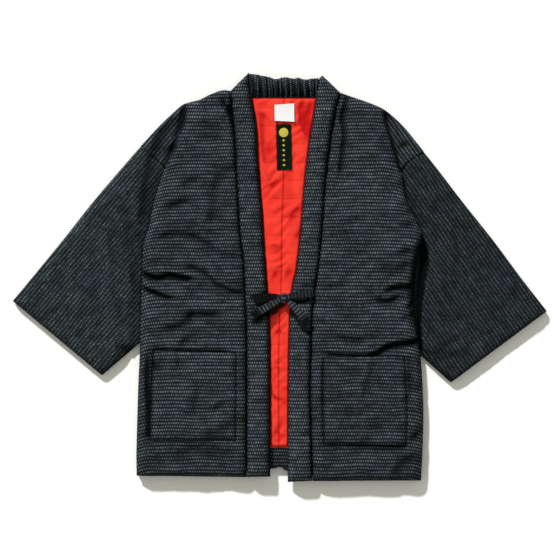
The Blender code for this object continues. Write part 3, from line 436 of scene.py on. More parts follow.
# The cloth's weave: rows of small light dots
ROW_PITCH = 7.16
DOT_PITCH = 4.85
DOT_LEVEL = 0.51
DOT_SHARPNESS = 2.8
TAPE_RIBS = 5.0
# Outer cloth by piece: gain, green, how far the dots stand out in their row and the rows
# from the ground, how uneven the threads are. The gain paints light and shade: lit and
# shaded copies of one cloth, darker for the sleeves, most of all the right one, the right
# pocket and the hem's facing, and lighter for the collar bands.
CLOTHS = {
    "body": (0.95, 1.0, 0.26, 0.20, 0.8),
    "pocket_left": (0.95, 1.0, 0.26, 0.20, 0.8),
    "pocket_right": (0.82, 1.0, 0.26, 0.20, 0.8),
    "sleeve_left": (0.82, 1.05, 0.22, 0.15, 1.4),
    "sleeve_right": (0.58, 1.03, 0.20, 0.15, 1.0),
    "band": (1.08, 1.0, 0.30, 0.17, 0.8),
    "neck": (1.0, 1.0, 0.34, 0.17, 1.3),
    "tie": (0.95, 1.0, 0.26, 0.20, 0.8),
    "inside": (0.6, 1.0, 0.26, 0.20, 0.8),
}

# Colours in linear light
GROUND = (0.0014, 0.0026, 0.0040)
GROUND_BLUE = (0.0022, 0.0030, 0.0066)
# Painted shade: the navy that creases, seams and shaded places are darkened to, and random blotches too
PAINTED_SHADE_AND_BLOTCH_NAVY = (0.0008, 0.0012, 0.0016)
DOT_GREY = (0.128, 0.157, 0.170)
DOT_BLUE = (0.127, 0.152, 0.188)
RED = (0.72, 0.037, 0.021)
# Painted shade in the low parts of the lining's wrinkles
RED_SHADE = (0.66, 0.026, 0.015)
# Painted shade of the lining's creases, seams and quilting rows, then the near black of the ties'
# painted shadow
RED_PAINTED_SHADE = (0.40, 0.002, 0.002)
RED_PAINTED_SHADOW = (0.02, 0.001, 0.001)
WHITE = (0.655, 0.65, 0.665)
WHITE_DEEP = (0.6, 0.6, 0.62)
GREEN_BLACK = (0.002, 0.006, 0.004)
GREEN_LIGHT = (0.008, 0.014, 0.008)
GOLD = (0.56, 0.44, 0.045)
GOLD_SHADE = 0.6  # of the gold
FLOOR = (0.80, 0.80, 0.80)
FLOOR_SHADE = 0.97


def points_of(rows):
    return np.array(rows, float)


def smoothed(rows, step=4.0):
    """The rows joined by a Catmull-Rom curve, with a point about every step."""
    p = points_of(rows)
    if len(p) < 3:
        return p
    ends = np.vstack([2 * p[0] - p[1], p, 2 * p[-1] - p[-2]])
    curve = []
    for a, b, c, d in zip(ends, ends[1:], ends[2:], ends[3:]):
        count = max(2, int(round(math.dist(b, c) / step)))
        for t in np.arange(count) / count:
            curve.append(0.5 * (2 * b + (c - a) * t + (2 * a - 5 * b + 4 * c - d) * t * t
                                + (3 * b - a - 3 * c + d) * t ** 3))
    return np.array([*curve, p[-1]])


def lengths_of(line):
    return np.concatenate([[0], np.cumsum(np.linalg.norm(np.diff(line, axis=0), axis=1))])


def along(line, shares):
    """Points at the given shares of the line's length."""
    run = lengths_of(line)
    at = np.asarray(shares) * run[-1]
    return np.stack([np.interp(at, run, line[:, k]) for k in (0, 1)], axis=-1)


def at_height(line, y):
    """The point where a line that climbs or falls all the way passes y."""
    order = np.argsort(line[:, 1])
    return np.stack([np.interp(y, line[order, 1], line[order, 0]), np.asarray(y, float)], axis=-1)


def beside(points, line):
    """Distance of each point in plan from a line, and how far along the line it is."""
    line = line[np.append(True, np.diff(line, axis=0).any(axis=1))]
    a = line[:-1]
    ab = line[1:] - a
    flat = points.reshape(-1, 2)
    offset = flat[:, None, :] - a
    share = np.clip((offset * ab).sum(-1) / (ab * ab).sum(-1), 0, 1)
    gaps = np.linalg.norm(offset - share[..., None] * ab, axis=-1)
    near = gaps.argmin(1)
    each = np.arange(len(flat))
    run = lengths_of(line)[near] + share[each, near] * np.linalg.norm(ab, axis=1)[near]
    return gaps[each, near].reshape(points.shape[:-1]), run.reshape(points.shape[:-1])


def away(points, line):
    return beside(points, line)[0]


def swell(distance, radius):
    """0 at an edge, rounding up to 1 from the radius inwards."""
    q = np.clip(distance / radius, 0, 1)
    return np.sqrt(1 - (1 - q) ** 2)


def ease(value, low, high):
    q = np.clip((value - low) / (high - low), 0, 1)
    return q * q * (3 - 2 * q)


def fade(distance, depth, reach):
    """The depth, dying away with the distance."""
    return depth * np.exp(-distance / reach)


def hump(distance, depth, reach, power=2):
    """The depth within the reach and almost nothing outside it."""
    return depth * np.exp(-((distance / reach) ** power))


def raised(low, share):
    """From low up to 1 by the share."""
    return low + (1 - low) * share


def dimmed(colour, share):
    return tuple(share * part for part in colour)


def seam_reach(y, reach):
    """Reach of the dark along a collar seam, wider beside the neck."""
    return reach[0] + reach[1] * ease(y, 150, 330)


def spread(shares, count):
    """A rising list of shares with each of its steps divided into count."""
    shares = np.asarray(shares, float)
    return np.interp(np.arange((len(shares) - 1) * count + 1) / count, np.arange(len(shares)), shares)


def unevenness(points, pitch, seed):
    """Smooth noise from -1 to 1, with hills about a pitch apart."""
    table = np.random.default_rng(seed).uniform(-1, 1, (400, 400))
    cell = points / pitch + 200
    low = np.floor(cell).astype(int)
    part = cell - low
    part = part * part * (3 - 2 * part)
    i, j = low[..., 0], low[..., 1]
    s, t = part[..., 0], part[..., 1]
    return ((table[i, j] * (1 - s) + table[i + 1, j] * s) * (1 - t)
            + (table[i, j + 1] * (1 - s) + table[i + 1, j + 1] * s) * t)


def crease_depth(name, points):
    """How deep the cloth dips along its creases, thinning out at the ends of each. The same depth also
    sets the painted shade in the creases.
    """
    depth = np.zeros(points.shape[:-1])
    for deep, half_width, route in CREASES[name]:
        line = smoothed(route)
        distance, run = beside(points, line)
        near = along(line, run / lengths_of(line)[-1])
        lit = ((points - near) * LIGHT_FROM).sum(-1) > 0
        reach = half_width * np.where(lit, STEEP_SIDE, GENTLE_SIDE)
        ends = np.minimum(run, lengths_of(line)[-1] - run)
        taper = 0.3 + 0.7 * ease(ends, 0, 18)
        depth += taper * hump(distance, deep, reach)
    return depth


def puckers(points, line, depth, pitch, reach, seed):
    """Small gathers across a seam, uneven in length and spacing, fading away from it."""
    distance, run = beside(points, line)
    shift = 1.6 * unevenness(np.stack([run, 0 * run], axis=-1), 2.7 * pitch, seed)
    size = 0.65 + 0.35 * unevenness(np.stack([run, 0 * run + 9], axis=-1), 1.9 * pitch, seed + 1)
    return size * np.cos(2 * math.pi * run / pitch + 2.2 * shift) * fade(distance, depth, reach)


class Half:
    """The outlines of one side of the garment. sign is -1 on the left, 1 on the right."""

    def __init__(self, sign):
        left = sign < 0
        self.sign = sign
        self.name = "left" if left else "right"
        self.shoulder = smoothed(SHOULDER_LEFT if left else SHOULDER_RIGHT)
        self.fold = smoothed(FOLD_LEFT if left else FOLD_RIGHT)
        self.armhole = smoothed(ARMHOLE_LEFT if left else ARMHOLE_RIGHT)
        self.tucked = smoothed(TUCKED_LEFT if left else TUCKED_RIGHT)
        self.side = smoothed(SIDE_LEFT if left else SIDE_RIGHT)
        self.upper = smoothed(SLEEVE_UPPER_LEFT if left else SLEEVE_UPPER_RIGHT)
        self.lower = points_of(SLEEVE_LOWER_LEFT if left else SLEEVE_LOWER_RIGHT)
        self.collar_outer = smoothed(COLLAR_OUTER_LEFT if left else COLLAR_OUTER_RIGHT)
        self.collar_inner = smoothed(COLLAR_INNER_LEFT if left else COLLAR_INNER_RIGHT)
        self.back_hem = points_of(BACK_HEM_LEFT if left else BACK_HEM_RIGHT)
        self.rows = ROWS_LEFT if left else ROWS_RIGHT
        self.pocket_rows = POCKET_ROWS_LEFT if left else POCKET_ROWS_RIGHT
        self.pocket_share = POCKET_SHARE_LEFT if left else POCKET_SHARE_RIGHT
        self.cuff = np.array([self.upper[-1], self.lower[-1]])
        self.armhole_whole = np.vstack([self.armhole, self.tucked[1:]])
        self.front_hem = np.array([at_height(self.collar_outer, self.rows[0][0]), self.side[-1]])


LEFT = Half(-1)
RIGHT = Half(1)


def ring_of(rows, columns):
    """The indices round the edge of a grid, in order."""
    last = (rows - 1) * columns
    return [*range(columns),
            *range(2 * columns - 1, last, columns),
            *range(last + columns - 1, last - 1, -1),
            *range(last - columns, 0, -columns)]


def inset(loop, distance):
    """A closed loop of plan points moved inwards by the distance, one for all or one each."""
    before = loop - np.roll(loop, 1, axis=0)
    after = np.roll(loop, -1, axis=0) - loop
    before /= np.maximum(np.linalg.norm(before, axis=1), 1e-6)[:, None]
    after /= np.maximum(np.linalg.norm(after, axis=1), 1e-6)[:, None]
    x, y = loop[:, 0], loop[:, 1]
    turn = 1 if (x * np.roll(y, -1) - y * np.roll(x, -1)).sum() > 0 else -1
    both = before + after
    normal = turn * np.stack([-both[:, 1], both[:, 0]], axis=1)
    size = np.linalg.norm(normal, axis=1)[:, None]
    normal /= np.where(size > 1e-6, size, 1)
    widen = np.clip(1 / np.maximum(size / 2, 0.5), 1, 1.6)
    return loop + np.reshape(distance, (-1, 1)) * widen * normal


def grid_faces(rows, columns, start=0):
    return [(start + r * columns + c, start + r * columns + c + 1,
             start + (r + 1) * columns + c + 1, start + (r + 1) * columns + c)
            for r in range(rows - 1) for c in range(columns - 1)]


def bridge(first, second):
    """Quads between two rings with as many points."""
    count = len(first)
    return [(first[i], first[(i + 1) % count], second[(i + 1) % count], second[i])
            for i in range(count)]


class Form:
    """Vertices, faces and each vertex's place on the flat cloth, all in millimetres. Its
    painted shade holds how dark the first vertices are painted, from 0 to 1, deepest in
    creases, seams and shaded places, and up to 2 on the lining for a tie's painted shadow."""

    def __init__(self):
        self.vertices = []
        self.cloth = []
        self.faces = []
        self.painted_shade = None

    def add(self, points, heights, cloth=None):
        start = len(self.vertices)
        flat = np.reshape(points, (-1, 2))
        heights = np.broadcast_to(heights, np.shape(points)[:-1]).reshape(-1)
        self.vertices += [(x, y, z) for (x, y), z in zip(flat, heights)]
        self.cloth += list(np.reshape(flat if cloth is None else cloth, (-1, 2)))
        return list(range(start, len(self.vertices)))


def padded_form(plan, top, under, rim=()):
    """A closed panel: a grid of top points over one flat polygon at the height under, or over a
    grid of under points. rim has (height, inset) rows for the edge above the underside, each
    one number for all or one for each point of the edge."""
    form = Form()
    rows, columns = plan.shape[:2]
    form.add(plan, top)
    form.faces += grid_faces(rows, columns)
    ring = ring_of(rows, columns)
    loop = plan.reshape(-1, 2)[ring]
    edge = top.reshape(-1)[ring]
    for height, distance in rim:
        level = form.add(inset(loop, distance), height, inset(loop, -np.abs(edge - height)))
        form.faces += bridge(ring, level)
        ring = level
    if np.ndim(under):
        grid = form.add(plan, under, plan + 1.0)
        form.faces += [f[::-1] for f in grid_faces(rows, columns, grid[0])]
        form.faces += bridge(ring, [grid[i] for i in ring_of(rows, columns)])
    else:
        form.faces.append(tuple(ring[::-1]))
    return form


def as_it_lies(points, centres):
    return points


def placed(name, data):
    thing = bpy.data.objects.new(name, data)
    bpy.context.scene.collection.objects.link(thing)
    return thing


def add_piece(name, form, material, nodes, lay=as_it_lies, sharp=55):
    """The piece as an object in the frame. lay turns places on the flat cloth, one for each
    corner of a face, with the faces' centres, into the weave's own directions."""
    vertices = MM * np.array(form.vertices)
    mesh = bpy.data.meshes.new(name)
    mesh.from_pydata(vertices.tolist(), [], form.faces)
    corners = np.zeros(len(mesh.loops), dtype=np.int32)
    mesh.loops.foreach_get("vertex_index", corners)
    cloth = np.array(form.cloth)[corners]
    counts = np.array([len(f) for f in form.faces])
    starts = np.concatenate([[0], np.cumsum(counts)[:-1]])
    centres = np.add.reduceat(cloth, starts, axis=0) / counts[:, None]
    woven = lay(cloth, np.repeat(centres, counts, axis=0)) / [DOT_PITCH, ROW_PITCH]
    layer = mesh.uv_layers.new(name="cloth")
    layer.data.foreach_set("uv", woven.astype(np.float32).ravel())
    # Painted shade of each vertex, kept as a point attribute that the cloth's colour reads
    painted_shade = np.zeros(len(vertices))
    if form.painted_shade is not None:
        painted_shade[:form.painted_shade.size] = form.painted_shade.ravel()
    mesh.attributes.new("painted_shade", "FLOAT", "POINT").data.foreach_set("value", painted_shade.astype(np.float32))
    shape = bmesh.new()
    shape.from_mesh(mesh)
    bmesh.ops.recalc_face_normals(shape, faces=shape.faces)
    shape.to_mesh(mesh)
    shape.free()
    mesh.shade_smooth()
    mesh.set_sharp_from_angle(angle=math.radians(sharp))
    mesh.materials.append(material)
    thing = placed(name, mesh)
    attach(thing, "root")
    if nodes:
        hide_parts(*nodes)
    return thing


class Shader:
    """A node material that is put together by short calls."""

    def __init__(self, name, roughness, specular):
        self.material = bpy.data.materials.new(name)
        self.material.use_nodes = True
        self.tree = self.material.node_tree
        self.surface = self.tree.nodes["Principled BSDF"]
        self.surface.inputs["Roughness"].default_value = roughness
        self.surface.inputs["Specular IOR Level"].default_value = specular

    def node(self, kind, **values):
        made = self.tree.nodes.new(kind)
        for name, value in values.items():
            setattr(made, name, value)
        return made

    def give(self, socket, value):
        if isinstance(value, bpy.types.NodeSocket):
            self.tree.links.new(value, socket)
        elif isinstance(value, tuple) and len(value) == 3 and socket.type == "RGBA":
            socket.default_value = (*value, 1)
        else:
            socket.default_value = value

    def math(self, operation, first, second=0.0, third=0.0):
        made = self.node("ShaderNodeMath", operation=operation)
        for socket, value in zip(made.inputs, (first, second, third)):
            self.give(socket, value)
        return made.outputs[0]

    def times(self, first, *others):
        for value in others:
            first = self.math("MULTIPLY", first, value)
        return first

    def scaled(self, value, gain, plus):
        return self.math("MULTIPLY_ADD", value, gain, plus)

    def mix(self, share, first, second):
        made = self.node("ShaderNodeMix", data_type="RGBA")
        self.give(made.inputs["Factor"], share)
        self.give(made.inputs["A"], first)
        self.give(made.inputs["B"], second)
        return made.outputs["Result"]

    def range(self, value, low, high, to_low=0.0, to_high=1.0):
        made = self.node("ShaderNodeMapRange", interpolation_type="SMOOTHSTEP")
        for socket, number in zip(made.inputs, (value, low, high, to_low, to_high)):
            self.give(socket, number)
        return made.outputs[0]

    def noise(self, vector, scale, detail=2.0, roughness=0.5):
        """Noise at one scale, or at one for each direction."""
        if isinstance(scale, tuple):
            vector = self.stretched(vector, scale)
            scale = 1.0
        made = self.node("ShaderNodeTexNoise")
        self.give(made.inputs["Vector"], vector)
        made.inputs["Scale"].default_value = scale
        made.inputs["Detail"].default_value = detail
        made.inputs["Roughness"].default_value = roughness
        return made.outputs["Fac"]

    def stretched(self, vector, scale):
        made = self.node("ShaderNodeVectorMath", operation="MULTIPLY")
        self.give(made.inputs[0], vector)
        made.inputs[1].default_value = scale
        return made.outputs[0]

    def woven(self):
        """The weave's own directions: dots counted along the first, rows along the second."""
        return self.node("ShaderNodeUVMap", uv_map="cloth").outputs[0]

    def split(self, vector):
        made = self.node("ShaderNodeSeparateXYZ")
        self.give(made.inputs[0], vector)
        return made.outputs[0], made.outputs[1]

    # The per-vertex painted shade, as the cloth's colour reads it
    def painted_shade(self):
        return self.node("ShaderNodeAttribute", attribute_name="painted_shade").outputs["Fac"]

    def place(self):
        return self.node("ShaderNodeTexCoord").outputs["Object"]

    def cosine(self, value, cycles=1.0):
        return self.math("COSINE", self.times(value, 2 * math.pi * cycles))

    def wave(self, value, cycles):
        """A cosine from 0 to 1."""
        return self.scaled(self.cosine(value, cycles), 0.5, 0.5)

    def bump(self, height, distance, strength):
        made = self.node("ShaderNodeBump")
        made.inputs["Strength"].default_value = strength
        made.inputs["Distance"].default_value = distance
        self.give(made.inputs["Height"], height)
        self.give(self.surface.inputs["Normal"], made.outputs[0])

    def colour(self, value):
        self.give(self.surface.inputs["Base Color"], value)


def outer_cloth(name):
    """Dark navy cotton. Its repeat is two rows of light dots, the second half a dot over,
    and slubs and fibres make them uneven. Painted shade from the vertices darkens it in
    creases, seams and shaded places, random blotches darken it too, and the piece's gain
    paints it lighter or darker as the light falls on that piece."""
    gain, green, dots, rows, rough = CLOTHS[name]

    def shade(colour):
        return gain * colour[0], gain * green * colour[1], gain * colour[2]

    shader = Shader("outer_cloth_" + name, roughness=0.9, specular=0.05)
    woven = shader.woven()
    place = shader.place()
    u, v = shader.split(woven)
    shifted = shader.times(shader.cosine(u), shader.cosine(v, cycles=0.5))
    lattice = shader.scaled(shifted, dots, DOT_LEVEL)
    lattice = shader.scaled(shader.cosine(v), rows, lattice)
    dot = shader.math("POWER", lattice, DOT_SHARPNESS)
    cell = shader.node("ShaderNodeCombineXYZ")
    for socket, value in zip(cell.inputs, (u, v)):
        shader.give(socket, shader.math("ROUND", shader.times(value, 2.0)))
    chance = shader.node("ShaderNodeTexWhiteNoise", noise_dimensions="3D")
    shader.give(chance.inputs["Vector"], cell.outputs[0])
    bright = shader.scaled(chance.outputs["Value"], gain=0.6, plus=0.7)
    slub = shader.noise(woven, scale=(0.12, 0.9, 1.0), detail=3.0, roughness=0.6)
    strength = shader.range(slub, 0.25, 0.75, to_low=0.5, to_high=1.5)
    speck = shader.noise(woven, scale=(1.1, 1.7, 1.0), detail=1.0)
    uneven = shader.scaled(speck, gain=2 * rough, plus=1 - rough)
    light = shader.times(dot, shader.times(bright, uneven), strength)
    patches = shader.range(shader.noise(place, scale=26.0, detail=3.0), 0.42, 0.66)
    ground = shader.mix(patches, shade(GROUND), shade(GROUND_BLUE))
    threads = shader.mix(patches, shade(DOT_GREY), shade(DOT_BLUE))
    cloth = shader.mix(light, ground, threads)
    # Random blotches where the cloth is darker
    blotch_noise = shader.noise(place, scale=(42.0, 60.0, 42.0), detail=3.0)
    blotched = shader.range(blotch_noise, 0.3, 0.62, to_low=0.34, to_high=0.0)
    unblotched = shader.math("SUBTRACT", 1.0, blotched)
    # Painted shade from the vertices, with the random blotches added
    dark = shader.scaled(shader.times(shader.painted_shade(), 0.95), unblotched, blotched)
    shader.colour(shader.mix(dark, cloth, PAINTED_SHADE_AND_BLOTCH_NAVY))
    fibres = shader.noise(woven, scale=(0.8, 1.6, 1.0))
    shader.bump(fibres, distance=0.0008, strength=0.5)
    return shader.material


def red_cotton():
    """Plain red cotton with a fine weave and small wrinkles between its quilting rows. The
    wrinkles' low parts are painted in a shade red, the painted shade from the vertices deepens
    the red in creases, seams and quilting rows, and the ties' painted shadow takes it near black.
    """
    shader = Shader("lining_cotton", roughness=0.75, specular=0.12)
    wrinkle = shader.noise(shader.place(), scale=(40.0, 55.0, 40.0))
    fine = shader.noise(shader.woven(), scale=(12.0, 18.0, 1.0), detail=1.0)
    painted_shade = shader.painted_shade()
    # Painted shade in the low parts of the wrinkles, which the same noise raises as bumps
    cloth = shader.mix(shader.range(wrinkle, 0.3, 0.6), RED_SHADE, RED)
    # Painted shade from the vertices, and near black where it passes 1 for the ties' painted shadow
    cloth = shader.mix(painted_shade, cloth, RED_PAINTED_SHADE)
    shader.colour(shader.mix(shader.range(painted_shade, 1.0, 2.0), cloth, RED_PAINTED_SHADOW))
    height = shader.scaled(wrinkle, 1.2, shader.times(fine, 0.1))
    shader.bump(height, distance=0.0010, strength=0.6)
    return shader.material


def tape(name, base, deep, specular):
    """Woven tape with fine ribs."""
    shader = Shader(name, roughness=0.7, specular=specular)
    u, v = shader.split(shader.woven())
    ribs = shader.times(shader.wave(u, TAPE_RIBS), shader.wave(v, 1.4 * TAPE_RIBS))
    cloudy = shader.noise(shader.place(), scale=60.0)
    share = shader.times(shader.math("SUBTRACT", 1.0, ribs), 0.25)
    shader.colour(shader.mix(shader.times(cloudy, share), base, deep))
    shader.bump(ribs, distance=0.0002, strength=0.5)
    return shader.material


def gold_thread():
    shader = Shader("gold_thread", roughness=0.6, specular=0.3)
    strands = shader.wave(shader.split(shader.woven())[1], 6.0)
    shader.colour(shader.mix(strands, dimmed(GOLD, GOLD_SHADE), GOLD))
    shader.bump(strands, distance=0.0003, strength=0.5)
    return shader.material


def floor_material():
    shader = Shader("floor", roughness=0.9, specular=0.0)
    grain = shader.times(shader.noise(shader.place(), scale=3.0), 0.05)
    shader.colour(shader.mix(grain, FLOOR, dimmed(FLOOR, FLOOR_SHADE)))
    return shader.material


def axes_at(degrees):
    """The two directions of something turned in plan."""
    turn = math.radians(degrees)
    return np.array([[math.cos(turn), math.sin(turn)], [-math.sin(turn), math.cos(turn)]])


def turned(points, degrees):
    """Plan points in axes turned so that the first runs along the direction given."""
    return points @ axes_at(degrees).T


def front_rows(half):
    """For each row of a front's grid: its y at the collar, its point on the outer edge, and
    how far up the wing it is."""
    inner = []
    outer_y = []
    for (y_in, y_out, cells), (next_in, next_out, _) in zip(half.rows, half.rows[1:]):
        for share in np.arange(FINE * cells) / (FINE * cells):
            inner.append(y_in + share * (next_in - y_in))
            outer_y.append(y_out + share * (next_out - y_out))
    outer = list(at_height(half.side, outer_y))
    start_in, start_out, cells = half.rows[-1]
    cells *= FINE
    rising = half.side[half.side[:, 1] > start_out][::-1]
    climb = np.vstack([at_height(half.side, start_out), rising, half.armhole[::-1][1:]])
    run = lengths_of(climb)
    turn = run[len(rising)] / run[-1]
    top_y = half.collar_outer[0][1]
    wing_cells = cells - int(round(cells * turn))
    shares = [*np.linspace(0, turn, cells - wing_cells + 1)[:-1],
              *np.linspace(turn, 1, 2 * wing_cells + 1)]
    for share in shares:
        inner.append(start_in + share * (top_y - start_in))
        outer.append(along(climb, share))
    wing = [max(0.0, (share - turn) / (1 - turn)) for share in shares]
    wing = [0.0] * (len(inner) - len(wing)) + wing
    return np.array(inner), np.array(outer), np.array(wing)


def front_plan(half):
    """The grid of a front in plan, with the column numbers of the pocket's two edges."""
    inner_y, outer, wing = front_rows(half)
    inner = at_height(half.collar_outer, inner_y)
    inner[:, 0] += half.sign * 2 * GAP
    outer[:, 0] -= half.sign * GAP * (wing > 0)
    inward = inner - outer
    inward /= np.linalg.norm(inward, axis=1)[:, None]
    foot = outer + FOOT * inward
    fold = along(half.fold[::-1], np.clip(wing, 0, 1))
    on_wing = wing > 0
    foot[on_wing] = fold[on_wing] + (1 - wing[on_wing, None]) * FOOT * inward[on_wing]
    crest = foot + (ROLL - FOOT) * inward
    pocket_in, pocket_out = half.pocket_share
    spans = [(0.0, pocket_in, COLLAR_CELLS), (pocket_in, pocket_out, POCKET_CELLS),
             (pocket_out, 1.0, FINE)]
    columns = [inner + share * (crest - inner)
               for low, high, cells in spans
               for share in np.linspace(low, high, cells + 1)[:-1]]
    columns += [crest + share * (foot - crest) for share in np.linspace(0, 1, ROLL_CELLS + 1)[:-1]]
    columns += [foot + share * (outer - foot) for share in np.linspace(0, 1, WING_COLUMNS)]
    plan = np.stack(columns, axis=1)
    straight = plan[-1]
    shoulder = half.shoulder
    shares = lengths_of(straight) / lengths_of(straight)[-1]
    foot_at = len(columns) - WING_COLUMNS
    fold_share = lengths_of(shoulder)[np.argmin(np.linalg.norm(shoulder - half.fold[0], axis=1))]
    fold_share /= lengths_of(shoulder)[-1]
    mapped = np.where(shares <= shares[foot_at], shares / shares[foot_at] * fold_share,
                      fold_share + (shares - shares[foot_at]) / (1 - shares[foot_at])
                      * (1 - fold_share))
    wanted = along(shoulder, mapped)
    wanted[0, 0] += half.sign * 2 * GAP
    blend = ease(inner_y, half.rows[-1][0], inner_y[-1]) ** 2
    plan = plan + blend[:, None, None] * (wanted - straight)
    return plan, (COLLAR_CELLS, COLLAR_CELLS + POCKET_CELLS)


def beyond_fold(half, points):
    fold_x = at_height(half.fold, points[..., 1])[..., 0]
    outside = half.sign * (points[..., 0] - fold_x) > -0.01
    return outside & (points[..., 1] > half.fold[-1][1] - 1)


def rumpled(points, seed, tall):
    """Soft unevenness of padded cloth: broad lumps, and finer ones drawn out across."""
    wide = 2.4 * unevenness(points, pitch=44, seed=seed)
    middling = 1.5 * unevenness(points, pitch=20, seed=seed + 1)
    drawn_out = 1.1 * unevenness(points * [0.4, 1.0], pitch=13, seed=seed + 2)
    return tall * (wide + middling + drawn_out)


def front_height(half, points):
    """Height of the top of a front, and its painted shade: full in the middle, rounding off
    at its edges, low on the wing outside the fold, and cut down along its creases. The shade
    is painted in the creases, along the collar seam, the armhole and the hem, below the waist,
    at the fold, on the right wing and on the right front's side beside the gap."""
    y = points[..., 1]
    to_side = away(points, half.side)
    to_hem = away(points, half.front_hem)
    to_shoulder = away(points, half.shoulder)
    to_collar = away(points, half.collar_outer)
    to_armhole = away(points, half.armhole)
    to_fold = away(points, half.fold)
    lumps = 3.0 * unevenness(points, pitch=38, seed=17)
    edge = swell(to_side + 0.5 * lumps, ROLL)
    edge *= swell(to_hem + lumps, HEM_ROLL) * swell(to_shoulder, SEAM_ROLL)
    seam = raised(SEAM_LOW, swell(to_collar, SEAM_ROLL))
    body = FRONT_EDGE + (FRONT_TOP - FRONT_EDGE) * edge * seam
    outside = beyond_fold(half, points)
    low = FRONT_EDGE + FOLD_LOW * (FRONT_TOP - FRONT_EDGE)
    near_fold = y > half.fold[-1][1] - FOLD_RUNS_ON
    roll = np.where(near_fold, swell(to_fold, FOLD_ROLL), 1)
    body = np.minimum(body, low + (FRONT_TOP - low) * roll)
    rise = swell(to_shoulder, WING_ROLL) * raised(WING_LOW, ease(to_fold, 0, FOLD_ROLL))
    height = np.where(outside, FRONT_EDGE + (WING_TOP - FRONT_EDGE) * rise, body)
    creases = FRONT_CREASES * crease_depth("front_" + half.name, points)
    height -= creases
    seed = FRONT_SEED[half.sign]
    loose = ease(to_side, 0, 14) * ease(to_hem, 0, 12) * ease(to_shoulder, 0, 12)
    height += loose * rumpled(points, seed, tall=1.4)
    height += puckers(points, half.collar_outer, depth=1.3, pitch=15, reach=12, seed=seed + 4)
    height += puckers(points, half.front_hem, depth=0.8, pitch=17, reach=10, seed=seed + 6)
    height += puckers(points, half.armhole, depth=0.5, pitch=13, reach=9, seed=seed + 8)
    height -= fade(to_collar, *SEAM_DIP) + fade(to_armhole, *ARMHOLE_DIP)

    # Painted shade in creases, along the seams and hem, below the waist, at the fold, on the right wing
    # and beside the gap
    painted_shade = np.clip(creases / FRONT_CREASE_DARK, 0, 1)
    painted_shade += fade(to_collar, SEAM_DARK, seam_reach(y, FRONT_SEAM_REACH))
    painted_shade += fade(to_armhole, *FRONT_ARMHOLE_DARK[half.sign]) + fade(to_hem, *HEM_DARK)
    painted_shade += WAIST_DARK * (1 - ease(y, -250, -90))
    past_fold = np.where(outside, to_fold, -to_fold) - FOLD_LINE
    painted_shade += near_fold * hump(past_fold, *FOLD_DARK[half.sign]) + WING_DARK[half.sign] * outside
    if half.sign > 0:
        beside_gap = ease(y, -150, -20) * (1 - ease(y, 70, 110))
        painted_shade += beside_gap * hump(to_side, *GAP_DARK, power=4)
    return np.maximum(height, FRONT_UNDER + 1.0), np.clip(painted_shade, 0, 1)


def on_front(half):
    """The weave of a front: level rows, bent down near the fold, and turned with the sleeve
    on the wing outside it."""
    def lay(points, centres):
        wing = turned(points, half.sign * -SLEEVE_TURN[half.sign])
        level = points.copy()
        level[:, 1] += fade(away(points, half.side), depth=9, reach=13)
        level[:, 1] += 1.6 * unevenness(points, pitch=55, seed=7)
        level[:, 1] += 0.6 * unevenness(points, pitch=21, seed=8)
        return np.where(beyond_fold(half, centres)[:, None], wing, level)
    return lay


def front(half, material, pocket_material):
    """A front with its pocket, which is made from the front's own points moved out."""
    plan, (first, last) = front_plan(half)
    top, painted_shade = front_height(half, plan)
    inner_y = plan[:, 0, 1]
    foot, mouth = (int(np.argmin(np.abs(inner_y - y))) for y in half.pocket_rows)
    bed = slice(foot, mouth + 1), slice(first, last + 1)
    drawn = POCKET_CREASES * crease_depth("pocket_" + half.name, plan[bed])
    top[bed] -= POCKET_SUNK + drawn
    edge = ring_of(*plan.shape[:2])
    loop = plan.reshape(-1, 2)[edge]
    wrapping_side = half.side[half.side[:, 1] > WRAP_FROM]
    on_edge = np.minimum(away(loop, half.shoulder), away(loop, wrapping_side))
    wrapped = 1 - ease(on_edge, 0.2, 3)
    rim = [(height + lower * wrapped, inward + wider * wrapped)
           for (height, inward), (lower, wider) in zip(FRONT_RIM, FRONT_WRAP)]
    form = padded_form(plan, top, FRONT_UNDER, rim)
    form.painted_shade = np.concatenate([painted_shade.ravel(), np.tile(painted_shade.ravel()[edge], len(rim))])
    panel = add_piece("front_%s_cloth" % half.name, form, material,
                      ["front_" + half.name], on_front(half))

    spot = plan[bed]
    ring = np.array([*spot[0], *spot[:, -1], *spot[-1][::-1], *spot[:, 0][::-1]])
    stitched = np.vstack([spot[-1, 0][None], spot[:, 0][::-1], spot[0], spot[:, -1]])
    to_stitches = away(spot, stitched)
    puff = swell(to_stitches, POCKET_ROLL) * raised(POCKET_LOW, swell(away(spot, ring), POCKET_LIP))
    over = top[bed] + GAP + POCKET_EDGE + (POCKET_THICK - POCKET_EDGE) * puff
    over += puckers(spot, stitched, depth=0.6, pitch=14, reach=9, seed=31)
    over -= hump(to_stitches - STITCH_LINE, *STITCH_DIP)
    form = padded_form(spot, over, top[bed] + GAP)
    # Painted shade in the pocket's creases, along its edges and in its stitching groove
    painted_shade = drawn / POCKET_CREASE_DARK + fade(to_stitches, *POCKET_EDGE_DARK)
    painted_shade += hump(to_stitches - STITCH_LINE - 0.5, *STITCH_DARK)
    form.painted_shade = np.clip(painted_shade, 0, 1)
    patch = add_piece("pocket_%s_cloth" % half.name, form,
                      pocket_material, ["pocket_" + half.name], on_front(half))


def sleeve_plan(half, across, run):
    seam = along(half.armhole_whole, across)
    seam[:, 0] += half.sign * GAP
    upper = along(half.upper, run)
    lower = along(half.lower, run)
    plan = upper[:, None] + across[None, :, None] * (lower - upper)[:, None]
    hold = (1 - run) ** 2
    straight = half.upper[0] + across[:, None] * (half.lower[0] - half.upper[0])
    return plan + hold[:, None, None] * (seam - straight)


